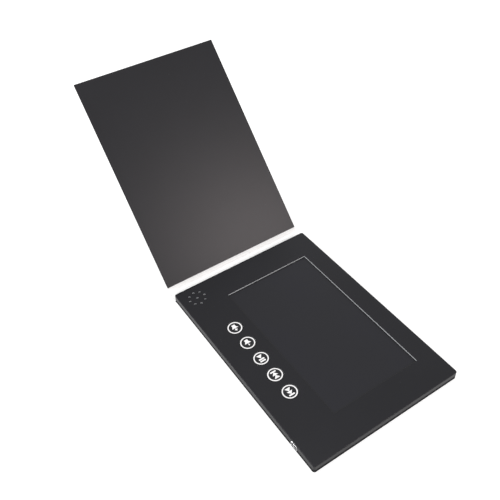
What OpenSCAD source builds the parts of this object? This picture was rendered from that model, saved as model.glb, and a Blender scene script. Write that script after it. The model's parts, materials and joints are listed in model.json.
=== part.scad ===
// Video brochure: a black card folder with a 7 inch screen, five buttons, a speaker and a
// charging socket in its base panel, and a thin cover on a flexible spine with two creases.
// Units are millimetres. The origin is the centre of the base panel's underside, the hinge
// edge is at -X, the button edge at -Y and +Z points up out of the screen.

/* [Screen] */
// Width of the visible screen
screen_w = 154.1; // [140:0.1:170]
// Height of the visible screen
screen_h = 88.4; // [78:0.1:100]
// Thickness of the screen glass with its polarisers
glass_t = 1.2; // [0.8:0.1:2]
// Thickness of the backlight tray under the glass
backlight_t = 1.8; // [1.2:0.1:3]
// Screen module beyond the visible screen at its left and right
screen_side = 5.4; // [4:0.1:9]
// Screen module beyond the visible screen at the far edge
screen_far = 4.8; // [3:0.1:8]
// Screen module beyond the visible screen at the button edge
screen_near = 6.8; // [5:0.1:10]
// Thickness of the tape between the glass and the front board
screen_tape_t = 0.15; // [0.1:0.05:0.5]

/* [Base panel] */
// From the hinge edge to the window
margin_hinge = 28.7; // [26:0.1:45]
// From the window to the free edge
margin_free = 27.2; // [24:0.1:45]
// From the window to the far long edge
margin_far = 18.9; // [14:0.1:35]
// Width of the side frame's wall
frame_w = 4; // [3:0.1:6]
// Thickness of the back board
back_board_t = 1.2; // [0.8:0.1:2.5]
// Thickness of the front board, white inside
front_board_t = 1.2; // [0.8:0.1:2.5]
// Thickness of the printed black face sheet
face_t = 0.2; // [0.15:0.05:0.4]
// Radius of the base panel's upright corners
corner_r = 2; // [1.5:0.1:4]
// Radius of the base panel's top edges
edge_r = 0.5; // [0.5:0.1:1.3]

/* [Cover and spine] */
// Thickness of the outer wrap sheet
wrap_t = 0.2; // [0.15:0.05:0.4]
// Height of the outer sheet's turned-up edge on the base panel's walls
turn_h = 3.4; // [2:0.1:4.5]
// Thickness of the white lining in the creases
lining_t = 0.2; // [0.15:0.05:0.4]
// Thickness of the cover's card
cover_card_t = 0.8; // [0.7:0.1:2.5]
// Thickness of the cover's black inner sheet
liner_t = 0.2; // [0.15:0.05:0.4]
// From the base panel's hinge edge to the first crease
crease_gap = 0.9; // [0.8:0.1:2]
// Soft strip of the cover between the second crease and the card
cover_joint_w = 4.7; // [3:0.1:10]
// Air between the closed cover and the face
close_gap = 0.3; // [0.2:0.1:1]
// Angle of the spine above the table in degrees
spine_rise = 13.4; // [0:0.1:60]
// Angle of the cover above the table in degrees
cover_rise = 46; // [20:0.5:90]

/* [Buttons] */
// From the button edge to the middle of the button row
button_row_y = 24.6; // [20:0.1:32]
// Middle of the button row from the middle of the panel, towards the free edge
button_row_x = 1; // [-3:0.1:3]
// Distance between neighbouring buttons
button_pitch = 20.3; // [18:0.1:24]
// Diameter of a button's cap
button_d = 14.6; // [12:0.1:16]
// Distance that a button travels
button_travel = 0.35; // [0.2:0.05:0.8]
// Black rim between a cap's edge and its printed white ring
ring_rim = 0.8; // [0.2:0.1:1]
// Stroke of the printed white ring
ring_w = 1; // [0.8:0.1:2]
// Black space between a symbol's corners and the ring
symbol_gap = 0.9; // [0.2:0.1:1.2]
// Diameter of a switch's plunger
plunger_d = 3; // [2:0.1:5]
// Side of a square switch housing
switch_w = 6; // [5:0.1:9]

/* [Speaker] */
// Diameter of the speaker
speaker_d = 20; // [18:0.5:24]
// Height of the speaker's basket
basket_h = 2.2; // [1.5:0.1:3]
// Diameter of the speaker's magnet
speaker_magnet_d = 13; // [10:0.5:16]
// Height of the speaker's magnet
speaker_magnet_h = 1.9; // [1:0.1:2.5]
// Diameter of one sound hole
sound_hole_d = 2; // [1:0.1:3]
// Radius of the ring of sound holes
sound_ring_r = 7.5; // [5:0.1:8]

/* [Electronics] */
// Thickness of the circuit boards
board_t = 1; // [0.6:0.1:1.6]
// Thickness of the foam tape under the main board
board_tape_t = 0.4; // [0.2:0.1:1.5]
// Width of the charging socket's shell at its wide side
usb_w = 7.9; // [7:0.1:9]
// Height of the charging socket's shell
usb_h = 3.9; // [2.5:0.1:4.5]
// Depth of the charging socket's shell
usb_depth = 9.2; // [6:0.1:10]
// How far the charging socket's lip stands out of the wall
usb_out = 0.4; // [0:0.1:0.8]
// From the free edge to the middle of the charging socket
usb_inset = 24.6; // [23.5:0.1:30]
// Width of the battery cell
battery_w = 90; // [60:1:110]
// Length of the battery cell
battery_l = 55; // [40:1:70]
// Thickness of the battery cell
battery_t = 2.2; // [1.6:0.1:4]
// Diameter of the insulated leads
lead_d = 0.9; // [0.6:0.05:1.2]
// Diameter of the cover's magnet
cover_magnet_d = 8; // [5:0.5:12]
// Thickness of the cover's magnet
cover_magnet_t = 0.6; // [0.4:0.1:0.7]

/* [Hidden] */

$fn = 48;
arc_fn = 96;
eps = 0.01;

// Clearances
battery_gap = 0.1;
foam_gap = 0.2;
board_gap = 0.2;
row_gap = 1.2;
speaker_gap = 1.5;
cap_gap = 0.2;
flange_gap = 0.1;
flange_w = 0.8;
flange_t = 0.5;
press_gap = 0.45;
plunger_gap = 0.1;
crease_slot = 0.3;
socket_gap = 0.2;
socket_top_gap = 0.1;
magnet_gap = 0.1;
seam_gap = 0.1;

// Button row
button_count = 5;
row_half = (button_count - 1) / 2 * button_pitch;
row_start = button_row_x - row_half;
flange_d = button_d + 2 * flange_w;
button_board_margin = 5;
button_board_len = 2 * row_half + switch_w + 2 * button_board_margin;
row_board_start = button_row_x - button_board_len / 2;
row_board_end = button_row_x + button_board_len / 2;
button_board_wid = flange_d;

// Base panel outline
margin_near = button_row_y + flange_d / 2 + row_gap + screen_near;
base_len = margin_hinge + screen_w + margin_free;
base_wid = margin_near + screen_h + margin_far;
x_hinge = -base_len / 2;
x_free = base_len / 2;
y_near = -base_wid / 2;
x_window = x_hinge + margin_hinge;
y_window = y_near + margin_near;
y_row = y_near + button_row_y;

// Boards inside the sheets that wrap them
skin_t = max(face_t, wrap_t);
inset_len = base_len - 2 * skin_t;
inset_wid = base_wid - 2 * skin_t;
frame_inset = skin_t + frame_w;

// Screen module outline
module_w = screen_w + 2 * screen_side;
module_h = screen_h + screen_near + screen_far;
x_module = x_window - screen_side;
y_module = y_window - screen_near;

// Charging socket
usb_lip = 0.2;
usb_wall = 0.3;
usb_lip_len = 0.6;
usb_taper = 0.7;
usb_taper_h = 1.7;

// Heights in the base panel, from the table up
battery_tape_t = 0.15;
z_floor = wrap_t + back_board_t;
battery_stack = battery_tape_t + battery_t + battery_gap + backlight_t + glass_t + screen_tape_t;
socket_stack = board_tape_t + board_t + usb_h + usb_lip + socket_top_gap;
z_front = z_floor + max(battery_stack, socket_stack);
z_face = z_front + front_board_t;
base_t = z_face + face_t;
z_glass = z_front - screen_tape_t - glass_t;
z_screen = z_glass - backlight_t;
z_battery = z_floor + battery_tape_t;
z_board = z_floor + board_tape_t;
z_parts = z_board + board_t;

// Heights in the button row, from the face down
z_flange = z_front - flange_gap - flange_t;
z_switch_top = z_flange - button_travel - press_gap;
plunger_in = 0.65;
switch_floor_t = 0.3;
z_plunger = z_switch_top - plunger_in;
z_switch = z_plunger - button_travel - plunger_gap - switch_floor_t;
z_button_board = z_switch - board_t;
print_t = 0.05;
ring_d = button_d - 2 * ring_rim;
ring_inner = ring_d / 2 - ring_w;

// Speaker, from the front board down
gauze_t = 0.15;
gasket_t = 0.5;
gasket_w = 1.2;
basket_wall = 0.6;
cone_dome_r = 3.5;
cone_rim = 1.5;
cone_t = 0.2;
speaker_inset = frame_inset + speaker_gap + speaker_d / 2;
x_speaker = x_hinge + speaker_inset;
y_speaker = y_near + speaker_inset;
sound_holes = 8;
z_basket = z_front - gasket_t - basket_h;
z_magnet = z_basket - speaker_magnet_h;
tab_w = 5;
tab_len = 3;
tab_t = 1.2;
tab_margin = 0.1;
tab_side = lead_d / 2 + tab_margin;
tab_out = 0.5;

// Main board
x_usb = x_free - usb_inset;
y_usb = y_near - usb_out;
board_left = 20.5;
board_right = usb_inset - frame_inset - board_gap;
x_board = x_usb - board_left;
y_board = y_near + frame_inset + board_gap;
y_board_top = y_module - row_gap;
tongue_w = 14;
port_wall = 1.2;
y_tongue = y_near + skin_t + port_wall + board_gap;
chip_w = 9;
chip_t = 1;
chip_clear = 2.5;
chip_shift = 2;
memory_w = 8;
memory_l = 12;
memory_shift = 10;
memory_drop = 1.5;
connector_h = 1.8;
connector_edge = 0.5;
screen_connector_shift = 1;
screen_connector_w = 22;
screen_connector_l = 4;
flex_w = 20;
flex_t = 0.2;
lead_pitch = 2.4;
lead_connector_l = 4.5;
lead_connector_edge = 1.5;
lead_connector_w = lead_pitch + 2 * lead_connector_edge;
speaker_connector_inset = 1;
battery_lead_shift = 15;
speaker_lead_shift = 5;
lead_low = 3;
lead_high = 1;
x_processor = x_usb - chip_shift;
y_processor = y_near + usb_depth + chip_clear + chip_w / 2;
x_memory = x_usb + memory_shift;
y_memory = y_processor - memory_drop;
x_screen_connector = x_usb + screen_connector_shift;
y_screen_connector = y_board_top - connector_edge - screen_connector_l;
x_battery_leads = x_usb - battery_lead_shift;
z_lead_path = z_parts + connector_h / 2;
y_battery_connector = y_board_top - lead_connector_edge - lead_connector_l;
y_speaker_leads = y_near + speaker_inset - speaker_lead_shift;
x_speaker_connector = x_board + speaker_connector_inset;
sensor_w = 3;
sensor_t = 1.1;
sensor_edge_x = 3.2;
sensor_edge_y = 3;
x_sensor = x_usb + board_right - sensor_edge_x;
y_sensor = y_board_top - sensor_edge_y;
coil_w = 4.4;
coil_h = 2.2;
x_coil = x_board + 12.5;
y_coil = y_board + 4;
passive = [1, 0.5, 0.5];
passive_pitch = 1.6;
x_filter_row = x_board + 6.5;
y_filter_row = y_processor - 5;
x_chip_row = x_processor - chip_w / 2 - 2.2;
y_chip_row = y_processor - 3.4;
board_tape_edge = 2;
ribbon_w = 8;
ribbon_t = 0.4;
ribbon_land = 3;
ribbon_bend = 1;

// Battery
battery_r = 1;
battery_tape_edge = 10;
battery_past_leads = 6;
battery_past_module = 8;
x_battery = x_battery_leads + battery_past_leads - battery_w;
y_battery = y_module + battery_past_module;

// Inside the charging socket
socket_back_t = 1.5;
socket_tongue_w = 3.4;
socket_tongue_t = 0.7;
socket_tongue_start = 1;

// Screen tape and flex
screen_tape_w = 3;
flex_straight = 0.3;
flex_land = 0.4;

// Cover and spine
z_axis = wrap_t;
x_axis = x_hinge - crease_gap;
cover_inner = cover_card_t + liner_t;
spine_len = base_t + close_gap + cover_inner - z_axis;
cover_len = base_len + crease_gap - cover_joint_w;
crease_end = max(wrap_t, lining_t) + crease_slot;

// Colours
black_sheet = [0.2, 0.2, 0.21];
white_card = [0.93, 0.93, 0.92];
grey_board = [0.62, 0.6, 0.56];
foam_grey = [0.3, 0.3, 0.32];
glass_black = [0.13, 0.13, 0.15];
metal = [0.75, 0.76, 0.78];
board_green = [0.07, 0.32, 0.16];
chip_black = [0.09, 0.09, 0.1];

// Flat outlines and blocks

module rounded_rect(lx, ly, r) {
    square([lx - 2 * r, ly], center = true);
    square([lx, ly - 2 * r], center = true);
    for (x = [-1, 1], y = [-1, 1])
        translate([x * (lx / 2 - r), y * (ly / 2 - r)])
            circle(r);
}

module rounded_plate(lx, ly, h, r) {
    linear_extrude(h)
        rounded_rect(lx, ly, r);
}

module edge_profile(w, h, e) {
    polygon([
        [0, 0], [w, 0], [w, h - e],
        for (a = [15:15:75]) [w - e + e * cos(a), h - e + e * sin(a)],
        [w - e, h], [0, h]
    ]);
}

// Plate with round upright corners and a rounded top edge
module soft_block(lx, ly, h, r, e) {
    cx = lx / 2 - r;
    cy = ly / 2 - r;
    translate([-cx, -cy, 0])
        cube([2 * cx, 2 * cy, h]);
    for (s = [0, 1]) {
        rotate([0, 0, 180 * s])
            translate([cx, cy, 0])
                rotate([90, 0, 0])
                    linear_extrude(2 * cy)
                        edge_profile(r, h, e);
        rotate([0, 0, 90 + 180 * s])
            translate([cy, cx, 0])
                rotate([90, 0, 0])
                    linear_extrude(2 * cx)
                        edge_profile(r, h, e);
        for (m = [0, 1])
            mirror([m, 0, 0])
                mirror([0, s, 0])
                    translate([cx, cy, 0])
                        rotate_extrude(angle = 90)
                            edge_profile(r, h, e);
    }
}

// Block between two corners
module block(a, b) {
    translate(a)
        cube(b - a);
}

// A band of even thickness that follows points [y, z], extruded along X about its middle
module band_along_x(points, t, w) {
    rotate([90, 0, 90])
        translate([0, 0, -w / 2])
            linear_extrude(w)
                polygon(concat(points, [for (i = [len(points) - 1:-1:0]) points[i] + [0, t]]));
}

// A band of even thickness that follows points [x, z], extruded along Y about its middle
module band_along_y(points, t, w) {
    rotate([90, 0, 0])
        translate([0, 0, -w / 2])
            linear_extrude(w)
                polygon(concat(points, [for (i = [len(points) - 1:-1:0]) points[i] + [0, t]]));
}

// Openings that several sheets share

module window_cut(z0, z1) {
    block([x_window, y_window, z0], [x_window + screen_w, y_window + screen_h, z1]);
}

module button_holes(z0, z1, d) {
    for (i = [0:button_count - 1])
        translate([row_start + i * button_pitch, y_row, z0])
            cylinder(d = d, h = z1 - z0);
}

module sound_hole_cut(z0, z1) {
    translate([x_speaker, y_speaker, z0]) {
        cylinder(d = sound_hole_d, h = z1 - z0);
        for (i = [0:sound_holes - 1])
            rotate([0, 0, i * 360 / sound_holes])
                translate([sound_ring_r, 0, 0])
                    cylinder(d = sound_hole_d, h = z1 - z0);
    }
}

// Outline of the charging socket's shell, grown by g, wide side down
module socket_outline(g) {
    w = usb_w / 2 + g;
    n = usb_w / 2 - usb_taper + g;
    polygon([
        [-w, -g], [w, -g], [w, usb_h - usb_taper_h],
        [n, usb_h + g], [-n, usb_h + g], [-w, usb_h - usb_taper_h]
    ]);
}

module socket_prism(g, y0, y1) {
    translate([x_usb, y1, z_parts])
        rotate([90, 0, 0])
            linear_extrude(y1 - y0)
                socket_outline(g);
}

// Base panel, from the table up

// Outer sheet under the panel, turned up round the back board on the three free sides
module base_wrap() {
    color(black_sheet)
        difference() {
            union() {
                rounded_plate(base_len, base_wid, turn_h, corner_r);
                block(
                    [x_axis + crease_end, y_near, 0],
                    [x_hinge + corner_r, -y_near, wrap_t]
                );
            }
            translate([0, 0, wrap_t])
                rounded_plate(
                    base_len - 2 * wrap_t, base_wid - 2 * wrap_t, turn_h, corner_r - wrap_t
                );
            block(
                [x_hinge - eps, y_near - eps, wrap_t],
                [x_hinge + corner_r, -y_near + eps, turn_h + eps]
            );
            socket_prism(usb_lip + socket_gap, y_near - eps, y_near + skin_t + eps);
        }
}

module back_board() {
    color(grey_board)
        translate([0, 0, wrap_t])
            rounded_plate(inset_len, inset_wid, back_board_t, corner_r - skin_t);
}

module side_frame() {
    color(grey_board)
        difference() {
            translate([0, 0, z_floor])
                rounded_plate(inset_len, inset_wid, z_front - z_floor, corner_r - skin_t);
            block(
                [x_hinge + frame_inset, y_near + frame_inset, z_floor - eps],
                [x_free - frame_inset, -y_near - frame_inset, z_front + eps]
            );
            block(
                [x_usb - tongue_w / 2 - board_gap, y_tongue - board_gap, z_floor - eps],
                [x_usb + tongue_w / 2 + board_gap, y_board, z_front + eps]
            );
            socket_prism(usb_lip + socket_gap, y_near - eps, y_board);
        }
}

module front_board() {
    color(white_card)
        difference() {
            translate([0, 0, z_front])
                soft_block(
                    inset_len, inset_wid, front_board_t, corner_r - skin_t, edge_r - face_t
                );
            window_cut(z_front - eps, z_face + eps);
            button_holes(z_front - eps, z_face + eps, button_d + 2 * cap_gap);
            sound_hole_cut(z_front - eps, z_face + eps);
        }
}

// Printed sheet over the front and the walls: it meets the outer sheet's turned-up edge on the
// free sides, and reaches the bottom at the hinge edge
module face_sheet() {
    color(black_sheet)
        difference() {
            translate([0, 0, wrap_t])
                soft_block(base_len, base_wid, base_t - wrap_t, corner_r, edge_r);
            translate([0, 0, wrap_t - eps])
                soft_block(
                    base_len - 2 * face_t, base_wid - 2 * face_t, z_face - wrap_t + eps,
                    corner_r - face_t, edge_r - face_t
                );
            window_cut(z_front, base_t + eps);
            button_holes(z_front, base_t + eps, button_d + 2 * cap_gap);
            sound_hole_cut(z_front, base_t + eps);
            socket_prism(usb_lip + socket_gap, y_near - eps, y_near + face_t + eps);
            block(
                [x_hinge + corner_r, y_near - eps, 0],
                [x_free + eps, -y_near + eps, turn_h + seam_gap]
            );
        }
}

// Foam that fills the side frame round the parts
module foam_insert() {
    g = foam_gap;
    color(foam_grey)
        difference() {
            block(
                [x_hinge + frame_inset, y_near + frame_inset, z_floor],
                [x_free - frame_inset, -y_near - frame_inset, z_front]
            );
            // Screen module, and the battery cell under it
            block(
                [x_module - g, y_module - g, z_screen],
                [x_module + module_w + g, y_module + module_h + g, z_front + eps]
            );
            block(
                [x_battery - g, y_battery - g, z_floor - eps],
                [x_battery + battery_w + g, y_battery + battery_l + g, z_screen + eps]
            );
            // Bay of the main board, open to the edge beside the socket
            block(
                [x_board - g, y_near + frame_inset - eps, z_floor - eps],
                [x_free - frame_inset + eps, y_board_top + g, z_front + eps]
            );
            // Bay of the button board
            block(
                [row_board_start - g, y_row - button_board_wid / 2 - g, z_button_board],
                [row_board_end + g, y_row + button_board_wid / 2 + g, z_front + eps]
            );
            button_holes(z_button_board, z_front + eps, flange_d + 2 * cap_gap);
            // Bay of the button ribbon
            block(
                [row_board_end, y_row - ribbon_w / 2 - g, z_parts - g],
                [x_board, y_row + ribbon_w / 2 + g, z_front + eps]
            );
            // Speaker
            translate([x_speaker, y_speaker, z_magnet])
                cylinder(d = speaker_d + 2 * g, h = z_front - z_magnet + eps);
            // Slot of the screen's flex
            block(
                [x_screen_connector - flex_w / 2 - g, y_board_top, z_parts],
                [x_screen_connector + flex_w / 2 + g, y_module, z_front + eps]
            );
            // Channels of the leads
            block(
                [x_speaker, y_speaker_leads - g - lead_d / 2, z_lead_path - g - lead_d / 2],
                [x_board, y_speaker_leads + lead_pitch + g + lead_d / 2, z_front + eps]
            );
            block(
                [x_battery_leads - g - lead_d / 2, y_board_top, z_floor - eps],
                [x_battery_leads + lead_pitch + g + lead_d / 2, y_battery, z_screen + eps]
            );
        }
}

// Screen module

module screen_tape() {
    color(chip_black)
        difference() {
            block(
                [x_window - screen_tape_w, y_window - screen_tape_w, z_glass + glass_t],
                [
                    x_window + screen_w + screen_tape_w, y_window + screen_h + screen_tape_w,
                    z_front
                ]
            );
            window_cut(z_glass, z_front + eps);
        }
}

module screen_glass() {
    color(glass_black)
        block(
            [x_module, y_module, z_glass],
            [x_module + module_w, y_module + module_h, z_glass + glass_t]
        );
}

module screen_backlight() {
    color(metal)
        block(
            [x_module, y_module, z_screen],
            [x_module + module_w, y_module + module_h, z_glass]
        );
}

module screen_flex() {
    z_mouth = z_parts + connector_h / 2;
    z_module = z_glass - 2 * flex_t;
    y_mouth = y_screen_connector + screen_connector_l;
    color("peru")
        translate([x_screen_connector, 0, 0])
            band_along_x(
                [
                    [y_mouth, z_mouth],
                    [y_mouth + flex_straight, z_mouth],
                    [y_module - flex_land, z_module],
                    [y_module, z_module]
                ],
                flex_t, flex_w
            );
}

// Battery

module battery_cell() {
    color("gainsboro")
        translate([x_battery + battery_w / 2, y_battery + battery_l / 2, z_battery])
            rounded_plate(battery_w, battery_l, battery_t, battery_r);
}

module battery_tape() {
    e = battery_tape_edge;
    color(white_card)
        block(
            [x_battery + e, y_battery + e, z_floor],
            [x_battery + battery_w - e, y_battery + battery_l - e, z_battery]
        );
}

// Round lead in the plane of one x, swept along points [y, z]
module swept_lead(x, route) {
    sides = 12;
    last = len(route) - 1;
    ring_points = [
        for (i = [0:last])
            let (
                run = route[min(i + 1, last)] - route[max(i - 1, 0)],
                across = [-run[1], run[0]] / norm(run)
            )
            for (k = [0:sides - 1])
                let (
                    a = 360 * k / sides,
                    p = route[i] + across * sin(a) * lead_d / 2
                )
                [x + cos(a) * lead_d / 2, p[0], p[1]]
    ];
    side_faces = [
        for (i = [0:last - 1], k = [0:sides - 1])
            let (a = i * sides + k, b = i * sides + (k + 1) % sides)
            each [[a, b, b + sides], [a, b + sides, a + sides]]
    ];
    start_face = [for (k = [sides - 1:-1:0]) k];
    end_face = [for (k = [0:sides - 1]) last * sides + k];
    polyhedron(ring_points, concat(side_faces, [start_face, end_face]));
}

// From the cell's end, level and then up in a soft step to the connector on the board
module battery_lead(i) {
    steps = 10;
    z_cell = z_battery + battery_t / 2;
    y_low = y_board_top + lead_low;
    y_high = y_board_top - lead_high;
    route = concat(
        [[y_battery, z_cell]],
        [
            for (k = [0:steps])
                [
                    y_low + (y_high - y_low) * k / steps,
                    z_cell + (z_lead_path - z_cell) * (1 - cos(180 * k / steps)) / 2
                ]
        ],
        [[y_battery_connector + lead_connector_l, z_lead_path]]
    );
    swept_lead(x_battery_leads + i * lead_pitch, route);
}

module battery_lead_red() {
    color("firebrick")
        battery_lead(0);
}

module battery_lead_black() {
    color(chip_black)
        battery_lead(1);
}

// Main board

module main_board() {
    color(board_green) {
        block(
            [x_board, y_board, z_board],
            [x_usb + board_right, y_board_top, z_parts]
        );
        block(
            [x_usb - tongue_w / 2, y_tongue, z_board],
            [x_usb + tongue_w / 2, y_board + eps, z_parts]
        );
    }
}

module board_tape() {
    e = board_tape_edge;
    color(white_card)
        block(
            [x_board + e, y_board + e, z_floor],
            [x_usb + board_right - e, y_board_top - e, z_board]
        );
}

module processor_chip() {
    color(chip_black)
        translate([x_processor, y_processor, z_parts])
            linear_extrude(chip_t)
                square(chip_w, center = true);
}

module memory_chip() {
    color(chip_black)
        translate([x_memory, y_memory, z_parts])
            linear_extrude(chip_t)
                square([memory_w, memory_l], center = true);
}

module power_coil() {
    color(chip_black)
        translate([x_coil, y_coil, z_parts]) {
            linear_extrude(coil_h / 3)
                square(coil_w, center = true);
            cylinder(d = coil_w, h = coil_h);
        }
}

module board_passives() {
    color("tan") {
        for (i = [0:5])
            translate([x_filter_row, y_filter_row + passive_pitch * i, z_parts])
                cube([2 * passive[0], 2 * passive[1], passive[2]]);
        for (i = [0:4])
            translate([x_chip_row, y_chip_row + passive_pitch * i, z_parts])
                cube(passive);
    }
}

module screen_connector() {
    color("ivory")
        translate([x_screen_connector - screen_connector_w / 2, y_screen_connector, z_parts])
            cube([screen_connector_w, screen_connector_l, connector_h]);
}

module battery_connector() {
    color("ivory")
        translate([x_battery_leads - lead_connector_edge, y_battery_connector, z_parts])
            cube([lead_connector_w, lead_connector_l, connector_h]);
}

module speaker_connector() {
    color("ivory")
        translate([x_speaker_connector, y_speaker_leads - lead_connector_edge, z_parts])
            cube([lead_connector_l, lead_connector_w, connector_h]);
}

module magnet_sensor() {
    color(chip_black)
        translate([x_sensor, y_sensor, z_parts])
            linear_extrude(sensor_t)
                square(sensor_w, center = true);
}

module usb_shell() {
    color(metal)
        difference() {
            union() {
                socket_prism(0, y_usb, y_usb + usb_depth);
                socket_prism(usb_lip, y_usb, y_usb + usb_lip_len);
            }
            socket_prism(-usb_wall, y_usb - eps, y_usb + usb_depth + eps);
        }
}

module usb_insulator() {
    y_back = y_usb + usb_depth - socket_back_t;
    z_tongue = z_parts + usb_h / 2;
    color(chip_black) {
        socket_prism(-usb_wall, y_back, y_usb + usb_depth);
        block(
            [x_usb - socket_tongue_w / 2, y_usb + socket_tongue_start, z_tongue],
            [x_usb + socket_tongue_w / 2, y_back + eps, z_tongue + socket_tongue_t]
        );
    }
}

// Speaker

module speaker_basket() {
    x_rim = x_speaker + speaker_d / 2;
    color(metal)
        difference() {
            union() {
                translate([x_speaker, y_speaker, z_basket])
                    cylinder(d = speaker_d, h = basket_h);
                block(
                    [x_rim - tab_len, y_speaker_leads - tab_side, z_lead_path - tab_t / 2],
                    [x_rim + tab_out, y_speaker_leads + lead_pitch + tab_side, z_basket + eps]
                );
            }
            translate([x_speaker, y_speaker, z_basket + basket_wall])
                cylinder(d = speaker_d - 2 * basket_wall, h = basket_h);
        }
}

module speaker_magnet() {
    color(metal)
        translate([x_speaker, y_speaker, z_magnet])
            cylinder(d = speaker_magnet_d, h = speaker_magnet_h);
}

module speaker_cone() {
    r = speaker_d / 2 - basket_wall;
    r_rim = r - cone_rim;
    z0 = z_basket + basket_wall;
    z1 = z_basket + basket_h - cone_t;
    color(chip_black)
        translate([x_speaker, y_speaker, 0])
            rotate_extrude()
                polygon([
                    [0, z0], [cone_dome_r, z0], [r_rim, z1], [r, z1],
                    [r, z1 + cone_t], [r_rim, z1 + cone_t], [cone_dome_r, z0 + cone_t],
                    [0, z0 + cone_t]
                ]);
}

module speaker_gasket() {
    color(foam_grey)
        translate([x_speaker, y_speaker, z_front - gasket_t])
            difference() {
                cylinder(d = speaker_d, h = gasket_t - gauze_t);
                translate([0, 0, -eps])
                    cylinder(d = speaker_d - 2 * gasket_w, h = gasket_t);
            }
}

module speaker_gauze() {
    color(chip_black)
        translate([x_speaker, y_speaker, z_front - gauze_t])
            cylinder(d = speaker_d, h = gauze_t);
}

module speaker_lead(i) {
    x0 = x_speaker + speaker_d / 2 + tab_out;
    x1 = x_speaker_connector;
    translate([x0, y_speaker_leads + i * lead_pitch, z_lead_path])
        rotate([0, 90, 0])
            cylinder(d = lead_d, h = x1 - x0);
}

module speaker_lead_red() {
    color("firebrick")
        speaker_lead(0);
}

module speaker_lead_black() {
    color(chip_black)
        speaker_lead(1);
}

// Buttons

module button_board() {
    color(board_green)
        block(
            [row_board_start, y_row - button_board_wid / 2, z_button_board],
            [row_board_end, y_row + button_board_wid / 2, z_switch]
        );
}

module switch_housings() {
    well_d = plunger_d + 2 * plunger_gap;
    color(metal)
        for (i = [0:button_count - 1])
            translate([row_start + i * button_pitch, y_row, z_switch])
                difference() {
                    linear_extrude(z_switch_top - z_switch)
                        square(switch_w, center = true);
                    translate([0, 0, switch_floor_t])
                        cylinder(d = well_d, h = z_switch_top - z_switch);
                }
}

module button_ribbon() {
    x0 = row_board_end;
    x1 = x_board;
    color("silver")
        translate([0, y_row, 0])
            band_along_y(
                [
                    [x0 - ribbon_land, z_switch],
                    [x0 + ribbon_bend, z_switch],
                    [x1 - ribbon_bend, z_parts],
                    [x1 + ribbon_land, z_parts]
                ],
                ribbon_t, ribbon_w
            );
}

module button_cap(i) {
    color(black_sheet)
        translate([row_start + i * button_pitch, y_row, 0]) {
            translate([0, 0, z_flange + flange_t - eps])
                cylinder(d = button_d, h = base_t - z_flange - flange_t + eps, $fn = arc_fn);
            translate([0, 0, z_flange])
                cylinder(d = flange_d, h = flange_t, $fn = arc_fn);
        }
}

module plunger(i) {
    color("saddlebrown")
        translate([row_start + i * button_pitch, y_row, z_plunger])
            cylinder(d = plunger_d, h = z_flange - z_plunger);
}

// Printed symbols, drawn on a grid on which the furthest corner is at [4, 2.8]

symbol_h = 5.6;
symbol_unit = (ring_inner - symbol_gap) / norm([4, symbol_h / 2]);

module triangle(x0, x1) {
    polygon([[x0, -symbol_h / 2], [x1, 0], [x0, symbol_h / 2]]);
}

module bar(x0, w, h) {
    translate([x0, -h / 2])
        square([w, h]);
}

module loudspeaker_symbol() {
    polygon([[-3.8, -1.7], [-1.5, -1.7], [0.6, -3.3], [0.6, 3.3], [-1.5, 1.7], [-3.8, 1.7]]);
}

module volume_up_symbol() {
    loudspeaker_symbol();
    bar(1.05, 2.7, 0.95);
    bar(1.925, 0.95, 2.7);
}

module volume_down_symbol() {
    loudspeaker_symbol();
    bar(1.2, 2.2, 0.95);
}

module play_symbol() {
    triangle(-3.9, -0.2);
    bar(0.2, 1.5, symbol_h);
    bar(2.4, 1.5, symbol_h);
}

module next_symbol() {
    triangle(-4, -0.5);
    triangle(-0.6, 2.7);
    bar(2.6, 1.4, symbol_h);
}

module previous_symbol() {
    mirror([1, 0])
        next_symbol();
}

module button_print(i) {
    color("white")
        translate([row_start + i * button_pitch, y_row, base_t])
            linear_extrude(print_t) {
                difference() {
                    circle(d = ring_d, $fn = arc_fn);
                    circle(r = ring_inner, $fn = arc_fn);
                }
                scale(symbol_unit)
                    children();
            }
}

// Spine and cover, in the pose of the open folder

module at_spine() {
    translate([x_axis, 0, z_axis])
        rotate([0, spine_rise, 0])
            children();
}

module at_cover() {
    at_spine()
        translate([-spine_len, 0, 0])
            rotate([0, cover_rise - spine_rise, 0])
                children();
}

// Full-width sheet that runs from a crease along -X, with its round end on the crease's axis:
// side 1 lies on the inside of the fold and side -1 on its outside
module crease_sheet(length, t, side) {
    rotate([90, 0, 0])
        linear_extrude(base_wid, center = true) {
            translate([-length, side > 0 ? 0 : -t])
                square([length, t]);
            intersection() {
                circle(t);
                translate([-eps, side > 0 ? 0 : -t])
                    square([t + eps, t]);
            }
        }
}

module spine_wrap() {
    color(black_sheet)
        at_spine()
            crease_sheet(spine_len - crease_end, wrap_t, -1);
}

module spine_lining() {
    color(white_card)
        at_spine()
            crease_sheet(spine_len - crease_end, lining_t, 1);
}

module cover_lining() {
    color(white_card)
        at_cover()
            crease_sheet(cover_joint_w, lining_t, 1);
}

// Outer sheet of the cover, turned up round its three free edges
module cover_wrap() {
    x_far = -cover_joint_w - cover_len;
    color(black_sheet)
        at_cover() {
            crease_sheet(cover_joint_w + cover_len, wrap_t, -1);
            for (s = [-1, 1])
                translate([x_far, s > 0 ? base_wid / 2 - wrap_t : -base_wid / 2, -eps])
                    cube([cover_len, wrap_t, cover_inner + eps]);
            translate([x_far, -base_wid / 2, -eps])
                cube([wrap_t, base_wid, cover_inner + eps]);
        }
}

module at_cover_magnet() {
    at_cover()
        translate([x_axis - x_sensor, y_sensor, 0])
            children();
}

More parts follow.
